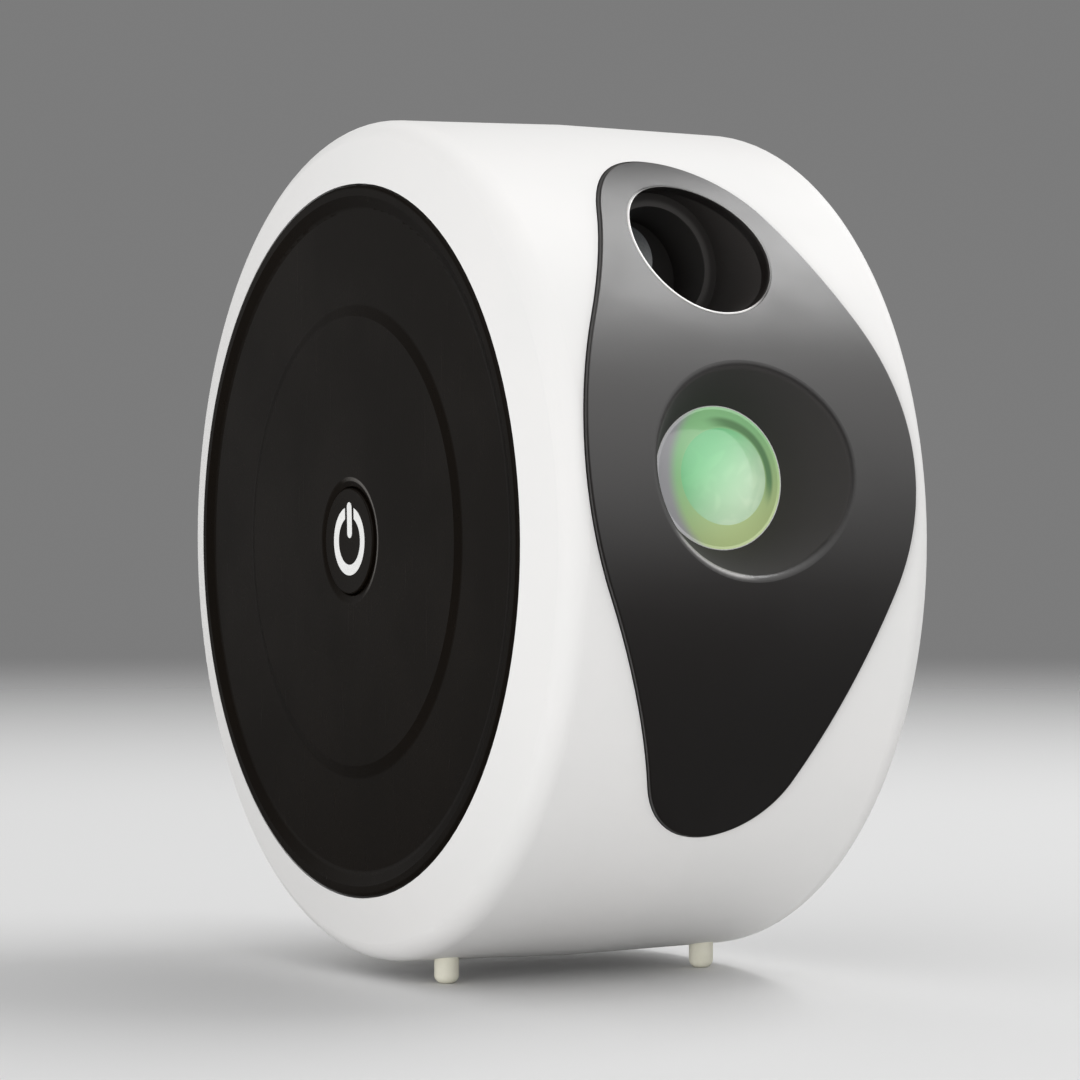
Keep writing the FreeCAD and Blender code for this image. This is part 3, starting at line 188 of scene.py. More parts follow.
# Patterns of the other finishes
noise_span = (0.3, 0.7)                      # in which most of a noise lies
drawn_drift_size = 8.0 * mm
drawn_line_height = 0.01 * mm
acrylic_haze_size = 4.0 * mm
acrylic_ripple_size = 2.5 * mm
acrylic_ripple_height = 0.3 * mm
film_ring_scale = 60.0
film_ring_height = 0.02 * mm
track_scale = 320.0
track_edge = (0.05, 0.09)
track_height = 0.03 * mm


# Places taken from the frame

def box_middle(name):
    low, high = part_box(name)
    return (low + high) / 2


def optics_turn():
    """Turn from the optics frame (X, up, light) to the drum's frame."""
    light = Vector(joints["ripple_wheel_spin"]["axis"])
    across = Vector((1.0, 0.0, 0.0))
    return Matrix((across, light.cross(across), light)).transposed()


def lens_seat():
    """Middle of the front face of the lens flange."""
    turn = optics_turn()
    up, light = turn.col[1], turn.col[2]
    low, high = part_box("lens")
    half = lens_flange_thickness / 2
    radius = (high.x - low.x) / 2
    middle_y = high.y + half * light.y - radius * up.y
    middle = Vector((0.0, middle_y, (low.z + high.z) / 2))
    return middle + half * light


def axis_height(joint):
    """Height of a turning axis over the drum's axis, in the optics frame."""
    return optics_turn().col[1].dot(Vector(joints[joint]["pos_m"]) - drum_middle)


drum_middle = Vector((0.0, *box_middle("left_cap").yz))
panel_radius = drum_middle.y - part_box("front_panel")[0].y
optics_to_drum = Matrix.Translation(lens_seat()) @ optics_turn().to_4x4()
port_axis_height = axis_height("grating_wheel_spin")
port_over_lens = port_axis_height - axis_height("ripple_wheel_spin")


def under_face(span):
    """Distances from the drum's axis, of a span of depths under the panel's face."""
    return [panel_radius - depth for depth in span]


# Node helpers

def feed(tree, socket, value):
    """Links a socket to another one, or sets its plain value. A plain colour has three parts."""
    if isinstance(value, bpy.types.NodeSocket):
        tree.links.new(value, socket)
    elif socket.type == "RGBA":
        socket.default_value = (*value, 1.0)
    else:
        socket.default_value = value


def place(tree, kind, inputs=None, **settings):
    """Adds a shader node, sets its properties, and sets or links its inputs."""
    node = tree.nodes.new("ShaderNode" + kind)
    for name, value in settings.items():
        setattr(node, name, value)
    for name, value in (inputs or {}).items():
        feed(tree, node.inputs[name], value)
    return node


def maths(tree, operation, first, second=0.0):
    return place(tree, "Math", {0: first, 1: second}, operation=operation).outputs[0]


def multiply(tree, first, second):
    return maths(tree, "MULTIPLY", first, second)


def vector_maths(tree, operation, first, second=(0.0, 0.0, 0.0)):
    return place(tree, "VectorMath", {0: first, 1: second}, operation=operation).outputs


def along(tree, where, way):
    """How far a place lies along a way."""
    return vector_maths(tree, "DOT_PRODUCT", where, way)["Value"]


def parts_of(tree, where):
    return place(tree, "SeparateXYZ", {0: where}).outputs


def mix_colours(tree, factor, first, second):
    return place(tree, "Mix", {0: factor, 6: first, 7: second}, data_type="RGBA").outputs[2]


def ramp(tree, value, low, high, bottom=0.0, top=1.0):
    """Smooth step of a value from bottom to top."""
    return place(tree, "MapRange", {
        "Value": value, "From Min": low, "From Max": high, "To Min": bottom, "To Max": top,
    }, interpolation_type="SMOOTHSTEP").outputs["Result"]


def fading(tree, value, low, high):
    """Smooth step of a value from full to none."""
    return ramp(tree, value, low, high, 1.0, 0.0)


def between(tree, share, first, second):
    """Value that goes from first to second with a share."""
    return ramp(tree, share, 0.0, 1.0, first, second)


def band(tree, value, rise, fall):
    """Mask that comes in over one span of a value and goes out over another."""
    return multiply(tree, ramp(tree, value, *rise), fading(tree, value, *fall))


def noise(tree, where, size, detail=2.0, distortion=0.0):
    return place(tree, "TexNoise", {
        "Vector": where, "Scale": 1.0 / size, "Detail": detail, "Distortion": distortion,
    }).outputs["Fac"]


def clouded(tree, value, bottom=0.0, top=1.0):
    """Smooth step over the range in which most of a noise lies."""
    return ramp(tree, value, *noise_span, bottom, top)


def spread(tree, where, stretch):
    """Place with each axis divided by a stretch, so that a pattern runs along the long ones."""
    scale = tuple(1.0 / length for length in stretch)
    return place(tree, "Mapping", {"Vector": where, "Scale": scale}).outputs["Vector"]


def object_place(tree):
    return place(tree, "TexCoord").outputs["Object"]


def drum_place(tree):
    """Place from the middle of the drum."""
    return vector_maths(tree, "SUBTRACT", object_place(tree), drum_middle)["Vector"]


def drum_radius_of(tree):
    """Distance of a place from the drum's axis."""
    across = vector_maths(tree, "MULTIPLY", drum_place(tree), (0.0, 1.0, 1.0))["Vector"]
    return vector_maths(tree, "LENGTH", across)["Value"]


def lens_place(tree):
    """Place in the optics frame, from the middle of the lens flange."""
    back = optics_to_drum.inverted()
    return place(tree, "Mapping", {
        "Vector": object_place(tree), "Location": back.translation, "Rotation": back.to_euler(),
    }).outputs["Vector"]


def lens_radius_of(tree, middle=(0.0, 0.0)):
    """Distance of a place from an axis along the light, given by its middle in the optics frame."""
    parts = parts_of(tree, lens_place(tree))
    spot = place(tree, "CombineXYZ", {"X": parts["X"], "Y": parts["Y"]}).outputs[0]
    return vector_maths(tree, "DISTANCE", spot, (*middle, 0.0))["Value"]


def start_group(name, inputs, outputs):
    """New node group with its two end nodes. Sockets are named for what they carry."""
    kinds = {"value": "NodeSocketFloat", "colour": "NodeSocketColor", "place": "NodeSocketVector"}
    tree = bpy.data.node_groups.new(name, "ShaderNodeTree")
    for label, kind in inputs.items():
        tree.interface.new_socket(label, in_out="INPUT", socket_type=kinds[kind])
    for label, kind in outputs.items():
        tree.interface.new_socket(label, in_out="OUTPUT", socket_type=kinds[kind])
    return tree, tree.nodes.new("NodeGroupInput").outputs, tree.nodes.new("NodeGroupOutput").inputs


def use_group(tree, group, inputs):
    return place(tree, "Group", inputs, node_tree=group).outputs


def start_material(name, **sockets):
    """New material with a Principled shader, and plain values on its sockets."""
    material = bpy.data.materials.new(name)
    material.use_nodes = True
    tree = material.node_tree
    tree.nodes.clear()
    shader = place(tree, "BsdfPrincipled")
    output = place(tree, "OutputMaterial")
    tree.links.new(shader.outputs["BSDF"], output.inputs["Surface"])
    for socket, value in sockets.items():
        feed(tree, shader.inputs[socket.replace("_", " ")], value)
    return material, tree, shader.inputs


# Effects that several finishes share

def make_grain_group():
    """Fine grain of a moulded or cast surface, as a height."""
    tree, given, result = start_group(
        "moulded_grain", {"Place": "place", "Size": "value"}, {"Height": "value"},
    )
    grain = place(tree, "TexNoise", {
        "Vector": given["Place"], "Scale": maths(tree, "DIVIDE", 1.0, given["Size"]),
        "Detail": 2.0, "Roughness": 0.6,
    })
    tree.links.new(grain.outputs["Fac"], result["Height"])
    return tree


def make_drift_group():
    """Slow drift of colour and gloss over a surface."""
    tree, given, result = start_group(
        "slow_drift",
        {"Place": "place", "Size": "value", "Colour": "colour", "Other": "colour",
         "Rough Low": "value", "Rough High": "value"},
        {"Colour": "colour", "Roughness": "value"},
    )
    cloud = place(tree, "TexNoise", {
        "Vector": given["Place"], "Scale": maths(tree, "DIVIDE", 1.0, given["Size"]), "Detail": 3.0,
    })
    share = clouded(tree, cloud.outputs["Fac"])
    tree.links.new(mix_colours(tree, share, given["Colour"], given["Other"]), result["Colour"])
    tree.links.new(between(tree, share, given["Rough Low"], given["Rough High"]), result["Roughness"])
    return tree


def make_hairline_group():
    """Sparse hairlines from handling, as a mask."""
    tree, given, result = start_group("hairlines", {"Place": "place"}, {"Mask": "value"})
    masks = []
    for stretch in hairline_stretches:
        streak = noise(tree, spread(tree, given["Place"], stretch), size=1.0, detail=1.0)
        masks.append(ramp(tree, streak, *hairline_span))
    tree.links.new(maths(tree, "MAXIMUM", *masks), result["Mask"])
    return tree


grain_group = make_grain_group()
drift_group = make_drift_group()
hairline_group = make_hairline_group()


# Kinds of finish

def drift(tree, shader, colours, rough, size):
    """Feeds a slow drift between two colours and two grades of gloss to a shader."""
    drifting = use_group(tree, drift_group, {
        "Place": object_place(tree), "Size": size, "Colour": colours[0], "Other": colours[1],
        "Rough Low": rough[0], "Rough High": rough[1],
    })
    tree.links.new(drifting["Colour"], shader["Base Color"])
    tree.links.new(drifting["Roughness"], shader["Roughness"])
    return drifting["Colour"]


def emboss(tree, shader, height, depth):
    """Feeds a height to a shader, as a bump of a depth."""
    bump = place(tree, "Bump", {"Height": height, "Distance": depth})
    tree.links.new(bump.outputs["Normal"], shader["Normal"])


def grain_height(tree, size):
    return use_group(tree, grain_group, {"Place": object_place(tree), "Size": size})["Height"]


def moulded(name, colours, rough, grain, drift_size=30 * mm, **sockets):
    """Moulded finish: slow drift of colour and gloss over a fine grain of a size and height."""
    material, tree, shader = start_material(name, **sockets)
    drift(tree, shader, colours, rough, drift_size)
    emboss(tree, shader, grain_height(tree, grain[0]), grain[1])
    return material


def drawn_metal(name, colours, rough, stretch, metallic=1.0):
    """Metal with fine lines along the way it was drawn or brushed."""
    material, tree, shader = start_material(name, Metallic=metallic)
    drift(tree, shader, colours, rough, drawn_drift_size)
    lines = noise(tree, spread(tree, object_place(tree), stretch), size=1.0, detail=4.0)
    emboss(tree, shader, lines, drawn_line_height)
    return material


def nodes_of(material):
    """Node tree and shader inputs of a finish that gets more detail."""
    tree = material.node_tree
    return tree, tree.nodes["Principled BSDF"].inputs


def source_of(shader, socket):
    return shader[socket].links[0].from_socket


def tint(tree, shader, mask, colour):
    """Mixes a colour into a finish where a mask is on."""
    base = source_of(shader, "Base Color")
    tree.links.new(mix_colours(tree, mask, base, colour), shader["Base Color"])


def light_up(tree, shader, colour):
    """Gives a lit finish one colour for its surface and its light."""
    for socket in ("Base Color", "Emission Color"):
        tree.links.new(colour, shader[socket])


# Finishes of the outside

def shell_white():
    return moulded(
        "shell_moulding", colours=((0.82, 0.81, 0.80), (0.80, 0.795, 0.785)), rough=(0.56, 0.64),
        grain=(0.4 * mm, 0.004 * mm), Specular_IOR_Level=0.3,
    )


def painted_lip_highlight(tree):
    """Mask of the painted highlight on the lip of the button's seat, on its front side."""
    where = drum_place(tree)
    lip = band(tree, drum_radius_of(tree), lip_rise, lip_fall)
    left = fading(tree, parts_of(tree, where)["X"], *lip_side)
    front = ramp(tree, along(tree, where, lip_way), *lip_span)
    return multiply(tree, multiply(tree, lip, left), front)


def cap_black():
    """Satin black of the side caps, with hairlines from handling and a painted highlight on the button's
    lip.
    """
    material = moulded(
        "cap_satin", colours=((0.0066, 0.0044, 0.0027), (0.0058, 0.0040, 0.0025)), rough=(0.30, 0.36),
        grain=(0.35 * mm, 0.012 * mm), Specular_IOR_Level=0.25,
    )
    tree, shader = nodes_of(material)
    # Painted highlight: a pale line on the front of the button's lip.
    tint(tree, shader, painted_lip_highlight(tree), lip_highlight_tone)
    hairlines = use_group(tree, hairline_group, {"Place": object_place(tree)})["Mask"]
    rough = source_of(shader, "Roughness")
    smoother = maths(tree, "SUBTRACT", rough, multiply(tree, hairlines, hairline_gloss))
    tree.links.new(smoother, shader["Roughness"])
    return material


def panel_black():
    """Satin black of the front panel, with a matt recess and a painted highlight low on the left of its
    rim.
    """
    material = moulded(
        "panel_satin", colours=((0.0075, 0.0054, 0.0046), (0.0065, 0.0047, 0.0040)), rough=(0.34, 0.42),
        grain=(0.3 * mm, 0.006 * mm), Specular_IOR_Level=0.95,
    )
    tree, shader = nodes_of(material)
    where = lens_place(tree)
    radius = drum_radius_of(tree)
    near = fading(tree, lens_radius_of(tree), *recess_reach)
    sunk = multiply(tree, near, fading(tree, radius, *under_face(recess_sink)))
    low = fading(tree, parts_of(tree, where)["Y"], *recess_low)
    low_rim = multiply(tree, low, ramp(tree, radius, *under_face(recess_rim_sink)))
    matt = between(tree, low_rim, sunk, 0.0)
    edge = band(tree, radius, under_face(recess_rim_highlight_rise), under_face(recess_rim_highlight_fall))
    painted_rim_highlight = multiply(tree, edge, ramp(tree, along(tree, where, recess_rim_highlight_way), *recess_rim_highlight_span))
    tint(tree, shader, matt, recess_tone)
    # Painted highlight: a thin pale line on the lower left of the recess rim.
    tint(tree, shader, multiply(tree, near, painted_rim_highlight), recess_rim_highlight_tone)
    tree.links.new(between(tree, matt, source_of(shader, "Roughness"), 1.0), shader["Roughness"])
    return material


def symbol_white():
    """Light-guide white of the power symbol, lit a little from behind."""
    material, tree, shader = start_material("symbol_light_guide", Emission_Strength=0.11)
    white = drift(
        tree, shader, colours=((0.80, 0.80, 0.79), (0.76, 0.76, 0.75)), rough=(0.36, 0.46), size=3 * mm,
    )
    light_up(tree, shader, white)
    return material


def foot_rubber():
    return moulded(
        "foot_pale_rubber", colours=((0.80, 0.78, 0.66), (0.75, 0.73, 0.61)), rough=(0.50, 0.62),
        grain=(0.25 * mm, 0.02 * mm), drift_size=3 * mm,
    )


def seal_rubber():
    return moulded(
        "seal_rubber_black", colours=((0.012, 0.012, 0.012), (0.018, 0.017, 0.016)), rough=(0.55, 0.7),
        grain=(0.2 * mm, 0.02 * mm),
    )


def inner_black():
    """Matt black of the tubes and the chassis, with a painted highlight on the edge of the step inside
    the laser port.
    """
    material = moulded(
        "stray_light_black", colours=((0.034, 0.031, 0.029), (0.040, 0.036, 0.034)), rough=(0.5, 0.62),
        grain=(0.4 * mm, 0.02 * mm),
    )
    tree, shader = nodes_of(material)
    depth = parts_of(tree, lens_place(tree))["Z"]
    from_step = maths(tree, "ABSOLUTE", maths(tree, "SUBTRACT", depth, port_step_depth))
    radius = lens_radius_of(tree, (0.0, port_over_lens))
    step = fading(tree, from_step, *port_step_fade)
    # Painted highlight: a pale ring on the edge of the step inside the laser port.
    tint(tree, shader, multiply(tree, step, fading(tree, radius, *port_step_reach)), port_step_highlight_tone)
    return material


def window_glass():
    """Frosted grey window at the bottom of the laser port, faintly lit from behind, paler below."""
    material, tree, shader = start_material("laser_window_frost", Emission_Strength=0.05)
    low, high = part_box("laser_window")
    share = ramp(tree, parts_of(tree, object_place(tree))["Z"], low.z, high.z)
    light_up(tree, shader, mix_colours(tree, share, window_foot_tone, window_top_tone))
    frost = grain_height(tree, window_frost_size)
    tree.links.new(clouded(tree, frost, bottom=0.22, top=0.34), shader["Roughness"])
    emboss(tree, shader, frost, window_frost_height)
    return material


def trim_satin():
    """Satin silver paint of the port's trim ring, with painted shade at its upper right."""
    material = drawn_metal(
        "port_trim_satin", colours=((0.78, 0.77, 0.76), (0.72, 0.71, 0.70)), rough=(0.30, 0.40),
        stretch=(2 * mm, 0.2 * mm, 0.2 * mm), metallic=0.2,
    )
    tree, shader = nodes_of(material)
    middle = trim_lit_way[1] * port_over_lens
    shade_fade = [middle + distance for distance in trim_shade_span]
    # Painted shade on the ring's upper right.
    dark = fading(tree, along(tree, lens_place(tree), trim_lit_way), *shade_fade)
    tint(tree, shader, dark, trim_shade_tone)
    return material


# Finishes of the projection lens

def lens_dome():
    """Front of the lens, filled with pale green light that is whiter low on its right."""
    material, tree, shader = start_material(
        "lens_dome_lit", Emission_Strength=lens_glow, Coat_Weight=1.0, Coat_Roughness=0.03,
    )
    where = lens_place(tree)
    paler = ramp(tree, along(tree, where, paler_way), *paler_span)
    # Painted reflections inside the dome, as faint dark swirls.
    stirred = noise(tree, where, swirl_size, detail=1.0, distortion=2.0)
    clear = ramp(tree, stirred, *swirl_span, *swirl_share)
    for socket, tones in (("Base Color", dome_body), ("Emission Color", dome_light)):
        green, pale, swirl = tones
        shade = mix_colours(tree, clear, swirl, mix_colours(tree, paler, green, pale))
        tree.links.new(shade, shader[socket])
    haze = noise(tree, where, size=3 * mm)
    tree.links.new(clouded(tree, haze, bottom=0.16, top=0.24), shader["Roughness"])
    return material


def lens_bevel():
    """Bevel and flange of the lens: grey glass with light in it, green above and yellow below."""
    material, tree, shader = start_material(
        "lens_bevel_glass", Emission_Strength=lens_glow, Coat_Weight=1.0, Coat_Roughness=0.05,
    )
    where = lens_place(tree)
    lit = fading(tree, lens_radius_of(tree, lit_middle), *lit_fade)
    low = ramp(tree, along(tree, where, yellow_way), *yellow_span)
    # Painted dark arc on the upper right of the bevel, standing for the barrel seen in the glass.
    arc = band(tree, lens_radius_of(tree), arc_rise, arc_fall)
    arc = multiply(tree, arc, ramp(tree, along(tree, where, arc_way), *arc_span))
    for socket, tones in (("Base Color", bevel_body), ("Emission Color", bevel_light)):
        grey, green, yellow, dark = tones
        shade = mix_colours(tree, lit, grey, mix_colours(tree, low, green, yellow))
        tree.links.new(mix_colours(tree, arc, shade, dark), shader[socket])
    haze = noise(tree, where, size=2 * mm)
    tree.links.new(clouded(tree, haze, bottom=0.14, top=0.22), shader["Roughness"])
    return material


def lens_edge():
    """Ground edge of the lens, pale and with a faint glow, a painted highlight that shows as a thin pale
    line.
    """
    # The faint glow of the edge is a painted highlight.
    material, tree, shader = start_material("lens_ground_edge_highlight", Emission_Strength=0.12)
    ground = noise(tree, object_place(tree), ground_size)
    light_up(tree, shader, mix_colours(tree, clouded(tree, ground), *ground_tones))
    tree.links.new(clouded(tree, ground, bottom=0.3, top=0.5), shader["Roughness"])
    return material


# Finishes of the inside

def clear_optic():
    """Clear acrylic with a slight haze and a rippled face."""
    material, tree, shader = start_material(
        "clear_acrylic", Base_Color=(0.96, 0.98, 0.97), Transmission_Weight=1.0, IOR=1.49,
    )
    where = object_place(tree)
    haze = noise(tree, where, acrylic_haze_size)
    tree.links.new(clouded(tree, haze, bottom=0.01, top=0.05), shader["Roughness"])
    ripple = noise(tree, where, acrylic_ripple_size, detail=1.0, distortion=0.6)
    emboss(tree, shader, ripple, acrylic_ripple_height)
    return material


def reflector_white():
    return moulded(
        "reflector_gloss_white", colours=((0.86, 0.86, 0.84), (0.82, 0.82, 0.80)), rough=(0.16, 0.24),
        grain=(0.5 * mm, 0.004 * mm),
    )


def gear_plastic():
    return moulded(
        "gear_acetal", colours=((0.74, 0.73, 0.68), (0.69, 0.68, 0.62)), rough=(0.32, 0.42),
        grain=(0.3 * mm, 0.008 * mm), drift_size=6 * mm, Subsurface_Weight=0.1, Subsurface_Scale=0.5 * mm,
    )


def grating_film():
    """Embossed film that breaks light into bands of colour."""
    material, tree, shader = start_material("embossed_film", Metallic=0.5)
    rings = place(tree, "TexWave", {
        "Vector": object_place(tree), "Scale": film_ring_scale, "Distortion": 6.0, "Detail": 1.0,
    }, wave_type="RINGS", rings_direction="Y").outputs["Fac"]
    bands = place(tree, "ValToRGB", {"Fac": rings})
    stops = bands.color_ramp.elements
    stops[0].color = (0.35, 0.45, 0.75, 1.0)
    stops[1].color = (0.75, 0.45, 0.60, 1.0)
    stops.new(0.35).color = (0.40, 0.72, 0.62, 1.0)
    stops.new(0.65).color = (0.78, 0.74, 0.45, 1.0)
    tree.links.new(bands.outputs["Color"], shader["Base Color"])
    tree.links.new(between(tree, rings, first=0.12, second=0.3), shader["Roughness"])
    emboss(tree, shader, rings, film_ring_height)
    return material


def steel():
    return drawn_metal(
        "zinc_steel", colours=((0.58, 0.58, 0.57), (0.50, 0.50, 0.49)), rough=(0.26, 0.36),
        stretch=(0.2 * mm, 0.2 * mm, 3 * mm),
    )


def aluminium():
    return drawn_metal(
        "brushed_aluminium", colours=((0.76, 0.77, 0.78), (0.70, 0.71, 0.72)), rough=(0.30, 0.42),
        stretch=(6 * mm, 0.15 * mm, 0.15 * mm),
    )


def brass():
    return drawn_metal(
        "turned_brass", colours=((0.78, 0.58, 0.26), (0.70, 0.50, 0.21)), rough=(0.22, 0.32),
        stretch=(3 * mm, 0.12 * mm, 3 * mm),
    )


def capacitor_metal():
    return drawn_metal(
        "capacitor_can", colours=((0.70, 0.71, 0.72), (0.62, 0.63, 0.65)), rough=(0.24, 0.34),
        stretch=(0.2 * mm, 0.2 * mm, 4 * mm),
    )


def socket_metal():
    return drawn_metal(
        "socket_plating", colours=((0.62, 0.62, 0.61), (0.54, 0.54, 0.53)), rough=(0.18, 0.28),
        stretch=(0.15 * mm, 3 * mm, 0.15 * mm),
    )


def led_yellow():
    return moulded(
        "led_phosphor", colours=((0.82, 0.66, 0.10), (0.86, 0.72, 0.18)), rough=(0.3, 0.4),
        grain=(0.15 * mm, 0.01 * mm), drift_size=1 * mm, Coat_Weight=1.0, Coat_Roughness=0.05,
    )


def board_green():
    """Solder mask over copper tracks, with the tracks a little raised and paler."""
    material, tree, shader = start_material("solder_mask", Coat_Weight=0.4, Coat_Roughness=0.2)
    cells = place(tree, "TexVoronoi", {
        "Vector": object_place(tree), "Scale": track_scale, "Randomness": 0.55,
    }, feature="DISTANCE_TO_EDGE", voronoi_dimensions="3D").outputs["Distance"]
    track = fading(tree, cells, *track_edge)
    shade = mix_colours(tree, track, (0.012, 0.085, 0.030), (0.03, 0.17, 0.06))
    tree.links.new(shade, shader["Base Color"])
    tree.links.new(between(tree, track, first=0.34, second=0.24), shader["Roughness"])
    emboss(tree, shader, track, track_height)
    return material


def chip_black():
    return moulded(
        "moulded_epoxy", colours=((0.020, 0.020, 0.021), (0.028, 0.027, 0.026)), rough=(0.48, 0.6),
        grain=(0.12 * mm, 0.01 * mm), drift_size=4 * mm,
    )


def header_ivory():
    return moulded(
        "header_nylon", colours=((0.78, 0.74, 0.62), (0.73, 0.68, 0.55)), rough=(0.4, 0.5),
        grain=(0.2 * mm, 0.008 * mm), drift_size=4 * mm,
    )


def lead_sleeve():
    return moulded(
        "lead_sleeve_vinyl", colours=((0.030, 0.030, 0.032), (0.042, 0.041, 0.042)), rough=(0.36, 0.46),
        grain=(0.25 * mm, 0.008 * mm), drift_size=8 * mm,
    )


slot_finishes = {
    "shell_white": shell_white(),
    "cap_black": cap_black(),
    "panel_black": panel_black(),
    "symbol_white": symbol_white(),
    "foot_rubber": foot_rubber(),
    "seal_rubber": seal_rubber(),
    "inner_black": inner_black(),
    "window_glass": window_glass(),
    "lens_glass": lens_bevel(),
    "clear_optic": clear_optic(),
    "reflector_white": reflector_white(),
    "gear_plastic": gear_plastic(),
    "film": grating_film(),
    "steel": steel(),
    "aluminium": aluminium(),
    "brass": brass(),
    "capacitor_metal": capacitor_metal(),
    "socket_metal": socket_metal(),
    "led_yellow": led_yellow(),
    "board_green": board_green(),
    "chip_black": chip_black(),
    "header_ivory": header_ivory(),
    "lead_sleeve": lead_sleeve(),
}


def dress_nodes():
    """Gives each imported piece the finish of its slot."""
    for node in nodes.values():
        for slot in node.material_slots:
            slot.material = slot_finishes[slot.material.name]


# Modelled pieces

def finish_piece(name, form, materials, body, replaced=()):
    """Turns a bmesh into a piece that rides on a body and stands for CAD nodes."""
    bmesh.ops.remove_doubles(form, verts=form.verts, dist=merge_distance)
    bmesh.ops.recalc_face_normals(form, faces=form.faces)
    mesh = bpy.data.meshes.new(name)
    form.to_mesh(mesh)
    form.free()
    for material in materials:
        mesh.materials.append(material)
    mesh.shade_smooth()
    mesh.set_sharp_from_angle(angle=sharp_angle)
    piece = bpy.data.objects.new(name, mesh)
    bpy.context.scene.collection.objects.link(piece)
    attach(piece, body)
    if replaced:
        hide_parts(*replaced)


def turned(profile, steps):
    """Spins a profile of (radius, height) points about Z."""
    form = bmesh.new()
    corners = [form.verts.new((radius, 0.0, height)) for radius, height in profile]
    edges = [form.edges.new(pair) for pair in zip(corners, corners[1:])]
    bmesh.ops.spin(
        form, geom=corners + edges, cent=(0, 0, 0), axis=(0, 0, 1),
        angle=2 * math.pi, steps=steps, use_merge=True,
    )
    return form


def dome_arc(radius, foot, top, points):
    """Points of a spherical dome from its foot to its crown."""
    rise = top - foot
    sphere = (radius ** 2 + rise ** 2) / (2 * rise)
    reach = math.asin(radius / sphere)
    for point in range(points + 1):
        angle = reach * (1 - point / points)
        yield sphere * math.sin(angle), top - sphere * (1 - math.cos(angle))


def make_lens():
    """Projection lens: a flange with a thin ground edge, a bevel and a low dome."""
    low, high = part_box("lens")
    flange_radius = (high.x - low.x) / 2
    edge_inside = lens_clear_radius - lens_edge_width
    profile = [
        (0.0, -lens_flange_thickness),
        (flange_radius, -lens_flange_thickness),
        (flange_radius, 0.0),
        (lens_clear_radius, 0.0),
        (lens_clear_radius - lens_edge_rise / 2, lens_edge_rise),
        (edge_inside + lens_edge_rise / 2, lens_edge_rise),
        (edge_inside, 0.0),
        (lens_bevel_radius, 0.0),
        (lens_dome_radius + lens_dome_round, lens_dome_foot - lens_dome_round / 2),
    ]
    profile += dome_arc(lens_dome_radius, lens_dome_foot, lens_dome_top, lens_dome_points)
    form = turned(profile, lens_steps)
    dome_index, bevel_index, edge_index = range(3)
    for face in form.faces:
        middle = face.calc_center_median()
        radius = middle.xy.length
        front = middle.z > -lens_flange_thickness / 2
        if front and edge_inside < radius < lens_clear_radius:
            face.material_index = edge_index
        elif front and radius < lens_dome_radius:
            face.material_index = dome_index
        else:
            face.material_index = bevel_index
    bmesh.ops.transform(form, matrix=optics_to_drum, verts=form.verts)
    finish_piece(
        "projection_lens", form, [lens_dome(), slot_finishes["lens_glass"], lens_edge()],
        "housing", ["lens"],
    )


def make_port_trim():
    """Thin satin ring round the laser port, which follows the panel's curved face."""
    crest = port_radius + trim_crest
    outside = port_radius + trim_width
    profile = [(outside, -trim_sink), (port_radius, -trim_sink), (port_radius, trim_rise)]
    for step in range(trim_round_steps + 1):
        angle = math.radians(90) * step / trim_round_steps
        profile.append((crest + (outside - crest) * math.sin(angle), trim_rise * math.cos(angle)))
    form = turned(profile + profile[:1], trim_steps)
    satin_index, wall_index = range(2)
    for face in form.faces:
        on_wall = face.calc_center_median().xy.length < port_radius + trim_crest / 4
        face.material_index = wall_index if on_wall else satin_index
    for corner in form.verts:
        corner.co.y += port_axis_height
        corner.co.z += math.sqrt(panel_radius ** 2 - corner.co.y ** 2)
    to_drum = Matrix.Translation(drum_middle) @ optics_turn().to_4x4()
    bmesh.ops.transform(form, matrix=to_drum, verts=form.verts)
    finish_piece("port_trim", form, [trim_satin(), slot_finishes["inner_black"]], "housing")


# Studio

def make_floor():
    """Pale round floor that fades into the backdrop."""
    form = bmesh.new()
    bmesh.ops.create_circle(form, cap_ends=True, radius=floor_radius, segments=floor_steps)
    mesh = bpy.data.meshes.new("floor")
    form.to_mesh(mesh)
    form.free()
    floor = bpy.data.objects.new("floor", mesh)
    bpy.context.scene.collection.objects.link(floor)
    material, tree, shader = start_material("floor_pale", Roughness=0.7)
    mirrored = place(tree, "LightPath").outputs["Is Glossy Ray"]
    shades = [(shade,) * 3 for shade in (floor_shade, mirrored_floor_shade)]
    tree.links.new(mix_colours(tree, mirrored, *shades), shader["Base Color"])
    distance = vector_maths(tree, "LENGTH", object_place(tree))["Value"]
    tree.links.new(fading(tree, distance, *floor_fade), shader["Alpha"])
    mesh.materials.append(material)


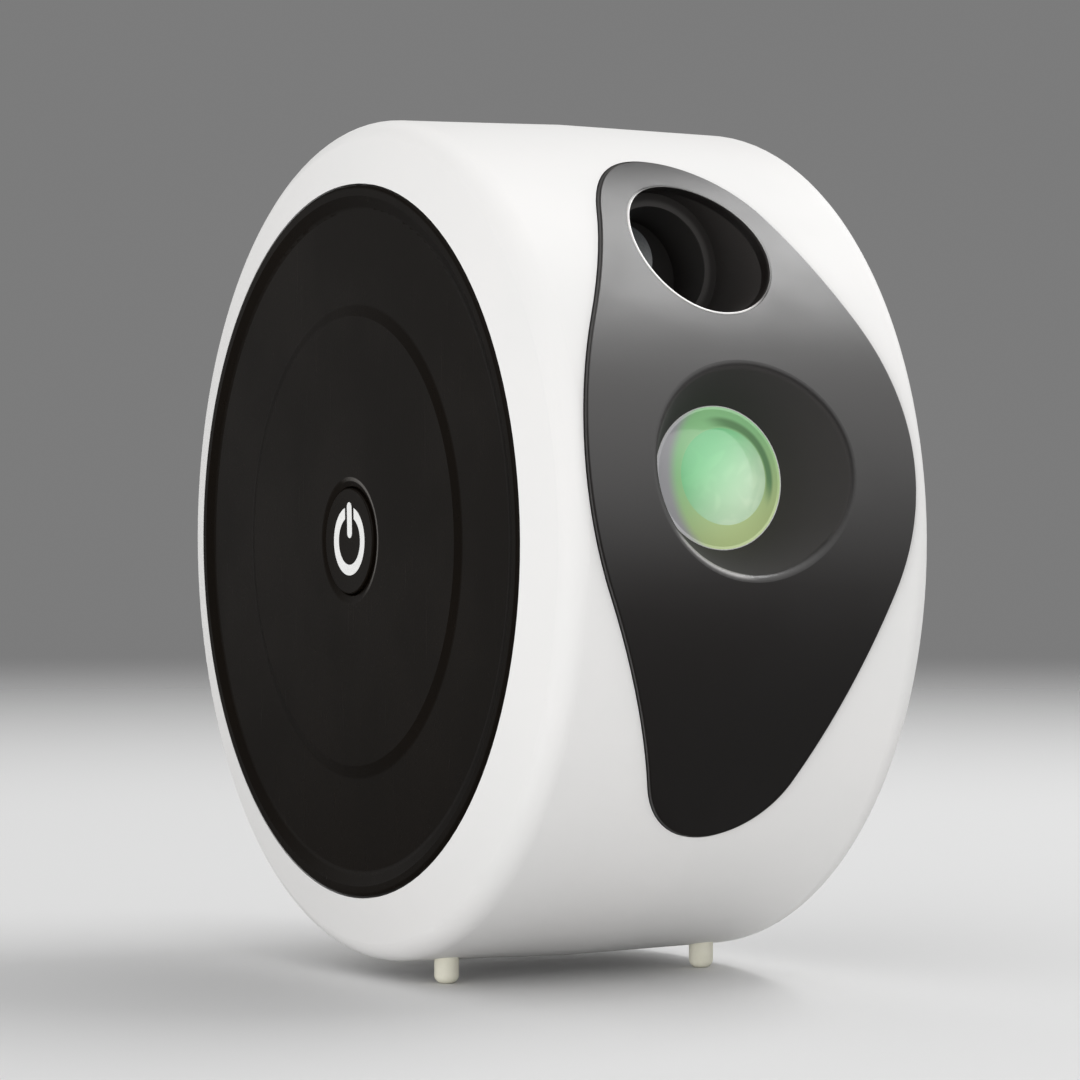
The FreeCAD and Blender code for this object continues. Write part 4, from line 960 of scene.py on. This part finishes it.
def make_world():
    """Even light for matt surfaces, and a grey backdrop for the camera and behind clear ones.

    Glossy surfaces show a glow in front and, behind, a light between two dark flags.
    """
    world = bpy.data.worlds.new("studio")
    bpy.context.scene.world = world
    world.use_nodes = True
    tree = world.node_tree
    tree.nodes.clear()
    direction = place(tree, "TexCoord").outputs["Generated"]
    ways = (glow_way, rear_way, behind_way)
    glow, rear, behind = [along(tree, direction, way.normalized()) for way in ways]
    in_front = ramp(tree, glow, *glow_span, backdrop_light, glow_light)
    at_rear = ramp(tree, rear, *rear_span, rear_flag_light, rear_light)
    surroundings = between(tree, ramp(tree, behind, *behind_span), in_front, at_rear)
    ray = place(tree, "LightPath").outputs
    seen = maths(tree, "MAXIMUM", ray["Is Camera Ray"], ray["Is Transmission Ray"])
    light = between(tree, ray["Is Glossy Ray"], sky_light, surroundings)
    light = between(tree, seen, light, backdrop_light)
    shade = place(tree, "Background", {"Color": (1.0, 1.0, 1.0), "Strength": light})
    output = place(tree, "OutputWorld")
    tree.links.new(shade.outputs["Background"], output.inputs["Surface"])


def make_lamp(name, spot, size, power, matt=True, gloss=True):
    """Soft rectangular lamp turned to the drum. It may leave matt or glossy surfaces unlit."""
    data = bpy.data.lights.new(name, "AREA")
    data.shape = "RECTANGLE"
    data.size, data.size_y = size
    data.energy = power
    lamp = bpy.data.objects.new(name, data)
    lamp.location = spot
    lamp.rotation_mode = "QUATERNION"
    lamp.rotation_quaternion = (drum_middle - spot).to_track_quat("-Z", "Y")
    lamp.visible_camera = False
    lamp.visible_diffuse = matt
    lamp.visible_glossy = gloss
    bpy.context.scene.collection.objects.link(lamp)


def make_camera():
    data = bpy.data.cameras.new("camera")
    camera = bpy.data.objects.new("camera", data)
    back = Vector((
        math.sin(view_azimuth) * math.cos(view_elevation),
        -math.cos(view_azimuth) * math.cos(view_elevation),
        math.sin(view_elevation),
    ))
    camera.location = drum_middle + back * view_distance
    camera.rotation_mode = "QUATERNION"
    camera.rotation_quaternion = (-back).to_track_quat("-Z", "Y")
    data.lens = data.sensor_width * view_distance / view_height
    data.clip_start = 0.01
    data.clip_end = 50.0
    bpy.context.scene.collection.objects.link(camera)
    bpy.context.scene.camera = camera


dress_nodes()
make_lens()
make_port_trim()
make_floor()
make_world()
make_lamp("overhead_softbox", softbox_spot, softbox_size, softbox_power)
make_lamp("right_softbox", right_softbox_spot, right_softbox_size, right_softbox_power, matt=False)
make_lamp("front_left_lamp", front_lamp_spot, front_lamp_size, front_lamp_power, gloss=False)
make_camera()
bpy.context.scene.view_settings.view_transform = "Standard"
